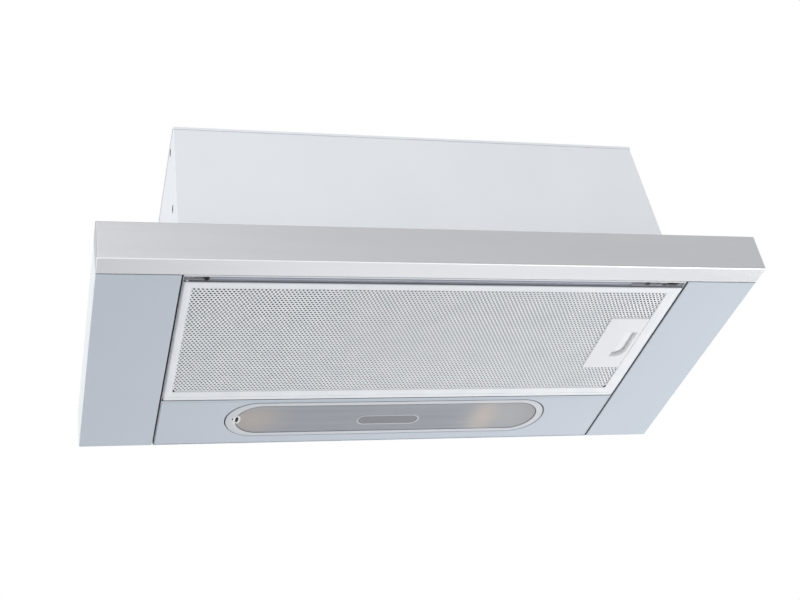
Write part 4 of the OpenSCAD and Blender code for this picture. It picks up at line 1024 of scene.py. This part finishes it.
def latch():
    """Handle plate as a height field: a rounded rim, and a finger recess. Its depth is
    5 (1 - w/14)^1.4 at w from the wall that runs down its right side and round its back right
    corner of R 11, so the floor comes up to the left and the front, where it ends in a short wall."""
    x0, x1, y0, y1 = LATCH
    rx0, rx1, ry0, ry1 = RECESS

    def from_wall(x, y, r=11.0):
        """Distance from the right and back walls and the rounded corner between them."""
        qx, qy = np.maximum(x - (rx1 - r), 0), np.maximum(y - (ry1 - r), 0)
        return np.where((qx > 0) & (qy > 0), r - np.hypot(qx, qy), np.minimum(rx1 - x, ry1 - y))

    def rise(d, width):
        """Smooth step 3s^2 - 2s^3 over the width of a wall."""
        s = np.clip(d / width, 0, 1)
        return s * s * (3 - 2 * s)

    def depth(x, y):
        w = from_wall(x, y)
        ends = rise(x - rx0, 0.8) * rise(y - ry0, 1.6)
        return 5.0 * rise(w, 0.5) * ends * (1 - np.clip(w / 14, 0, 1)) ** 1.4

    def edge(x, y):
        e = np.clip(np.minimum(np.minimum(x - x0, x1 - x), np.minimum(y - y0, y1 - y)), 0, 0.5)
        return 0.5 - np.sqrt(np.maximum(0.25 - (0.5 - e) ** 2, 0))

    def lower(x, y):
        return 0.1 + edge(x, y) + depth(x, y)

    def upper(x, y):
        return np.maximum(1.25, lower(x, y) + 0.9)

    rim, spread = np.array([0, 0.08, 0.2, 0.5]), np.linspace
    xs = [x0 + rim, spread(x0 + 2, rx0 - 1, 6), spread(rx0, rx0 + 1, 6),
          spread(rx0 + 1.2, rx1 + 0.2, 72), [rx1 + 1.5], x1 - rim]
    ys = [y0 + rim, spread(y0 + 3, ry0 - 2, 6), spread(ry0, ry0 + 1.8, 8),
          spread(ry0 + 3, ry1 - 12.5, 14), spread(ry1 - 12, ry1 + 0.2, 60),
          spread(ry1 + 2, y1 - 2, 6), y1 - rim]
    xs, ys = (np.unique(np.concatenate(lines)).round(3) for lines in (xs, ys))
    plate = slab(xs, ys, lower, upper)
    nose, tail = FILTER_X - 0.9, 211
    side = [(tail, 4.8), (nose - 2.2, 4.8), (nose, 6.4), (nose, 7.2), (tail, 7.2)]
    handle = joined(plate, carried(softened(side, 0.3), BOLT_Y, 1))
    add("latch_skin", handle, "filter_latch", "white_plastic", ["latch_handle"], sharp=40)


# ---- Lamp ----

def lens():
    """Moulded lens: stadium rings from the inner floor out over the wall, round the rim's edge,
    in to the sunk face; with a bare capsule, a gasket, two snap tabs, the hook arm with its pegs
    and the slot for its screw."""
    y, r, c = LENS_Y, LENS_R, LENS_C
    face_r = r - 5.2
    c0, c1 = -c - r + 9.5 + face_r, c + r - 7 - face_r

    def wall(grow, z):
        return level(stadium(-c, c, r + grow, y), z)

    def face(grow, z):
        return level(stadium(c0, c1, face_r + grow, y), z)

    rings = [wall(*p) for p in ((-1.6, 2.2), (-1.6, 6.2), (-1.4, 6.4), (-0.2, 6.4), (0, 6.2), (0, 0.9))]
    rings += [wall(-0.9 * c, 0.9 * s) for c, s in quarter(5)[1:]]
    rings += [face(*p) for p in ((0.6, 0), (0.3, 0.1), (0.1, 0.4), (0.05, 0.9), (-0.9, 0.9), (-1.1, 0.5))]
    body = loft(rings)

    def capsule(grow, z):
        return level(stadium(-23.5, 23.5, 7.5 + grow, y + 4, n=8, k=4), z)

    plate = [capsule(*p) for p in ((-0.2, 1.2), (-0.2, 0.42), (-0.5, 0.32))]
    edge = [capsule(*p) for p in ((0.9, 1.0), (0.9, 0.3), (0.6, 0.15), (0.1, 0.15), (-0.2, 0.35),
                                  (-0.2, 1.0))]
    gasket = [wall(*p) for p in ((-0.2, 0.7), (0.35, 0.7), (0.35, 1.5), (-0.2, 1.5))]
    tabs = [carried(softened(rect(-6, 6, 2, 7.4), 0.8), (d, d + 1.6), 1) for d in (y - r, y + r - 1.6)]
    arm = carried(softened(rect(c + r - 3, 167.2, 1.9, 3.7), 0.4), (y - 6, y + 6), 1)
    peg = [(0.02, -9.6), (1.0, -9.6), (1.2, -9.3), (1.2, 9.3), (1.0, 9.6), (0.02, 9.6)]
    pegs = turned([(w, y + h) for w, h in peg], (166, 0, 2.5), 1, 16, False)
    slot = stadium_box(SLOT_X, SLOT_X, SLOT_X - 1.3, SLOT_X + 1.3, y - 4.2, y + 4.2, n=6, k=2)
    nick = stadium_box(-157.0, -157.0, -157.5, -156.5, y - 3.6, y - 0.4, n=6, k=2)
    body = carve(body, [carried(slot, (-1, 9), 2), carried(nick, (-1, 1.6), 2)])
    moulding = joined(body, *tabs, arm, pegs)
    add("lamp_lens_skin", moulding, "lamp_cover", "lens_plastic", ["lamp_lens"], sharp=32)
    add("lens_bare_plate", loft(plate), "lamp_cover", "grey_plastic")
    add("lens_plate_edge", loft(edge, ring_shaped=True), "lamp_cover", "lens_plastic")
    add("lens_gasket", loft(gasket, ring_shaped=True), "lamp_cover", "grey_plastic")


def bulbs():
    """Tubular glass with a domed end, on its metal cap with turned grooves."""
    dome = [(12.5 * math.cos(q), 76 + 12.5 * math.sin(q)) for q in np.linspace(0, TAU / 4, 9)[:-1]]
    glass = [(0.02, 20), (7.0, 20), (7.4, 21.5), (9.5, 26), (11.8, 29.5), (12.5, 33)]
    glass += dome + [(0.02, 88.5)]
    turns = [(7.0 - 0.35 * (k % 2), 1 + k * 1.2) for k in range(14)]
    cap = [(0.02, -4), (3.6, -4), (4.2, -3.2), (6.4, -0.6)] + turns
    cap += [(7.2, 18.4), (7.2, 20.6), (0.02, 20.6)]
    foot, z = -158, 21.5                      # x of the cap's foot, and height of its axis
    for side in ("left", "right"):
        for label, profile, slot, node in (("glass", glass, "bulb_glass", [f"bulb_{side}"]),
                                           ("cap", cap, "bare_steel", [])):
            part = turned([(r, foot + h) for r, h in profile], (0, LENS_Y, z), 0, 36, False)
            part = mirrored(part) if side == "right" else part
            add(f"bulb_{side}_{label}", part, "hood", slot, node, sharp=30)


# ---- Knobs ----

def knobs():
    """Slide switch knobs: a rounded block with grip ribs, its stem and its foot, and a white cap
    on the speed knob; behind them the dark and grey stretches of their tracks."""
    dark = [folded([(27.42, 6.2), (27.42, 2.1), (30.3, 2.1)], (a, b), 0, t=0.25, r=0.1)
            for a, b in ((189.5, 194), (206.5, 211.5), (213, 221.5))]
    grey = carried(rounded_rect(176.3, 206.4, 2.1, 6.2, 0.2, n=3), (27.46, 27.55), 1)
    add("switch_tracks_dark", joined(*dark), "hood", "black_plastic")
    add("switch_track_grey", grey, "hood", "rail_paint")
    for kind, x, w, count in (("speed", 200, 4, 3), ("light", 217, 6, 4)):
        block = carried(softened(rect(x, x + w, 2.6, 6.3), 0.5), (21.8, 27.4), 1)
        stem = carried(rounded_rect(x + 1, x + w - 1, 24.2, 25.8, 0.3, n=3), (6.2, 9.7), 2)
        foot = carried(rounded_rect(x + 0.6, x + w - 0.6, 23.2, 26.8, 0.4, n=3), (9.5, 10.1), 2)
        ribs = [carried(softened(rect(c - 0.3, c + 0.3, 2.2, 2.8), 0.15), (21.9, 27.3), 1)
                for c in np.linspace(x + 0.9, x + w - 0.9, count)]
        if kind == "speed":
            cap = carried(softened(rect(x, x + w, 2.25, 3.6), 0.3), (21.75, 24.5), 1)
            add("speed_knob_cap", cap, "speed_switch", "white_plastic")
        knob = joined(block, stem, foot, *ribs)
        add(f"{kind}_knob", knob, f"{kind}_switch", "black_plastic", [f"{kind}_slider"])


for build in (drawer, underside_pan, pan_gap_shades, front_rail, body_shell, top_panel, outlet_collar,
              filter_border, punched_sheets, painted_corner_shade, latch, lens, bulbs, knobs):
    build()

for part in frame["record"]["subparts"]:
    shown = nodes[part["node"]]
    if not shown.hide_render:
        shown.data.materials.clear()
        shown.data.materials.append(SLOTS[part["material_slot"]])


# ---- Camera, floor and light ----

def camera():
    """The photograph's view: from below, in front and to the left."""
    data = bpy.data.cameras.new("Camera")
    data.lens, data.sensor_width = 60.2820459, 36
    data.clip_start, data.clip_end = 0.05, 50
    eye = bpy.data.objects.new("Camera", data)
    eye.location = (-0.36789966, -1.00314345, -0.65941604)
    eye.rotation_euler = Euler([math.radians(a) for a in (124.82192458, 9.16884899, -13.69848203)], "XYZ")
    bpy.context.scene.collection.objects.link(eye)
    bpy.context.scene.camera = eye


def seen_straight(tree):
    """1 on rays from the camera, off mirrors and through glass, 0 on the rays that light things."""
    path = put(tree, "LightPath").outputs
    seen = maths(tree, "MAXIMUM", path["Is Camera Ray"], path["Is Glossy Ray"])
    return maths(tree, "MAXIMUM", seen, path["Is Transmission Ray"])


def floor():
    """Plain pale floor well below the hood; what the camera, mirrors and glass see of it is white."""
    half, z = 18, -2.6
    mesh = bpy.data.meshes.new("floor")
    mesh.from_pydata([(x, y, z) for x, y in rect(-half, half, -half, half)], [], [(0, 1, 2, 3)])
    material, tree, shader = new_material("Floor")
    shade = use(tree, TONE, Light=(0.63, 0.63, 0.64, 1), Dark=(0.6, 0.6, 0.61, 1), Scale=1.5)
    feed(tree, shader, {"Base Color": shade["Color"], "Roughness": 0.8})
    white = put(tree, "Emission", {"Color": (1, 1, 1, 1), "Strength": 1.0})
    mix = put(tree, "MixShader", {0: seen_straight(tree), 1: shader.outputs[0], 2: white.outputs[0]})
    feed(tree, tree.nodes["Material Output"], {"Surface": mix.outputs[0]})
    mesh.materials.append(material)
    ground = bpy.data.objects.new("floor", mesh)
    bpy.context.scene.collection.objects.link(ground)


def world():
    """Soft grey light from all round; what the camera, mirrors and glass see of it is white."""
    space = bpy.data.worlds.new("Studio")
    space.use_nodes = True
    tree = space.node_tree
    tree.nodes.clear()
    soft = put(tree, "Background", {"Color": (0.97, 0.985, 1.0, 1), "Strength": 0.7})
    white = put(tree, "Background", {"Color": (1, 1, 1, 1), "Strength": 1.0})
    mix = put(tree, "MixShader", {0: seen_straight(tree), 1: soft.outputs[0], 2: white.outputs[0]})
    put(tree, "OutputWorld", {"Surface": mix.outputs[0]})
    bpy.context.scene.world = space


def lamp(name, place, target, size, power):
    """A square soft box at place, turned towards target."""
    data = bpy.data.lights.new(name, "AREA")
    data.shape, data.size, data.energy = "SQUARE", size, power
    box = bpy.data.objects.new(name, data)
    box.location = place
    box.rotation_euler = (Vector(target) - Vector(place)).to_track_quat("-Z", "Y").to_euler()
    box.visible_camera = False
    bpy.context.scene.collection.objects.link(box)


camera()
floor()
world()
lamp("Front soft box", (-0.9, -2.2, 0.45), (0, 0, 0.08), 1.4, 19)
lamp("Left soft box", (-2.2, -0.2, -0.35), (0, 0, 0.05), 1.2, 15.5)
lamp("Low right soft box", (1.2, 0.1, -0.95), (0.15, 0, 0), 0.9, 11.5)
lamp("Low rear soft box", (0.5, 1.2, -1.0), (0.05, -0.14, 0), 1.0, 1.7)

scene = bpy.context.scene
scene.view_settings.view_transform = "Standard"
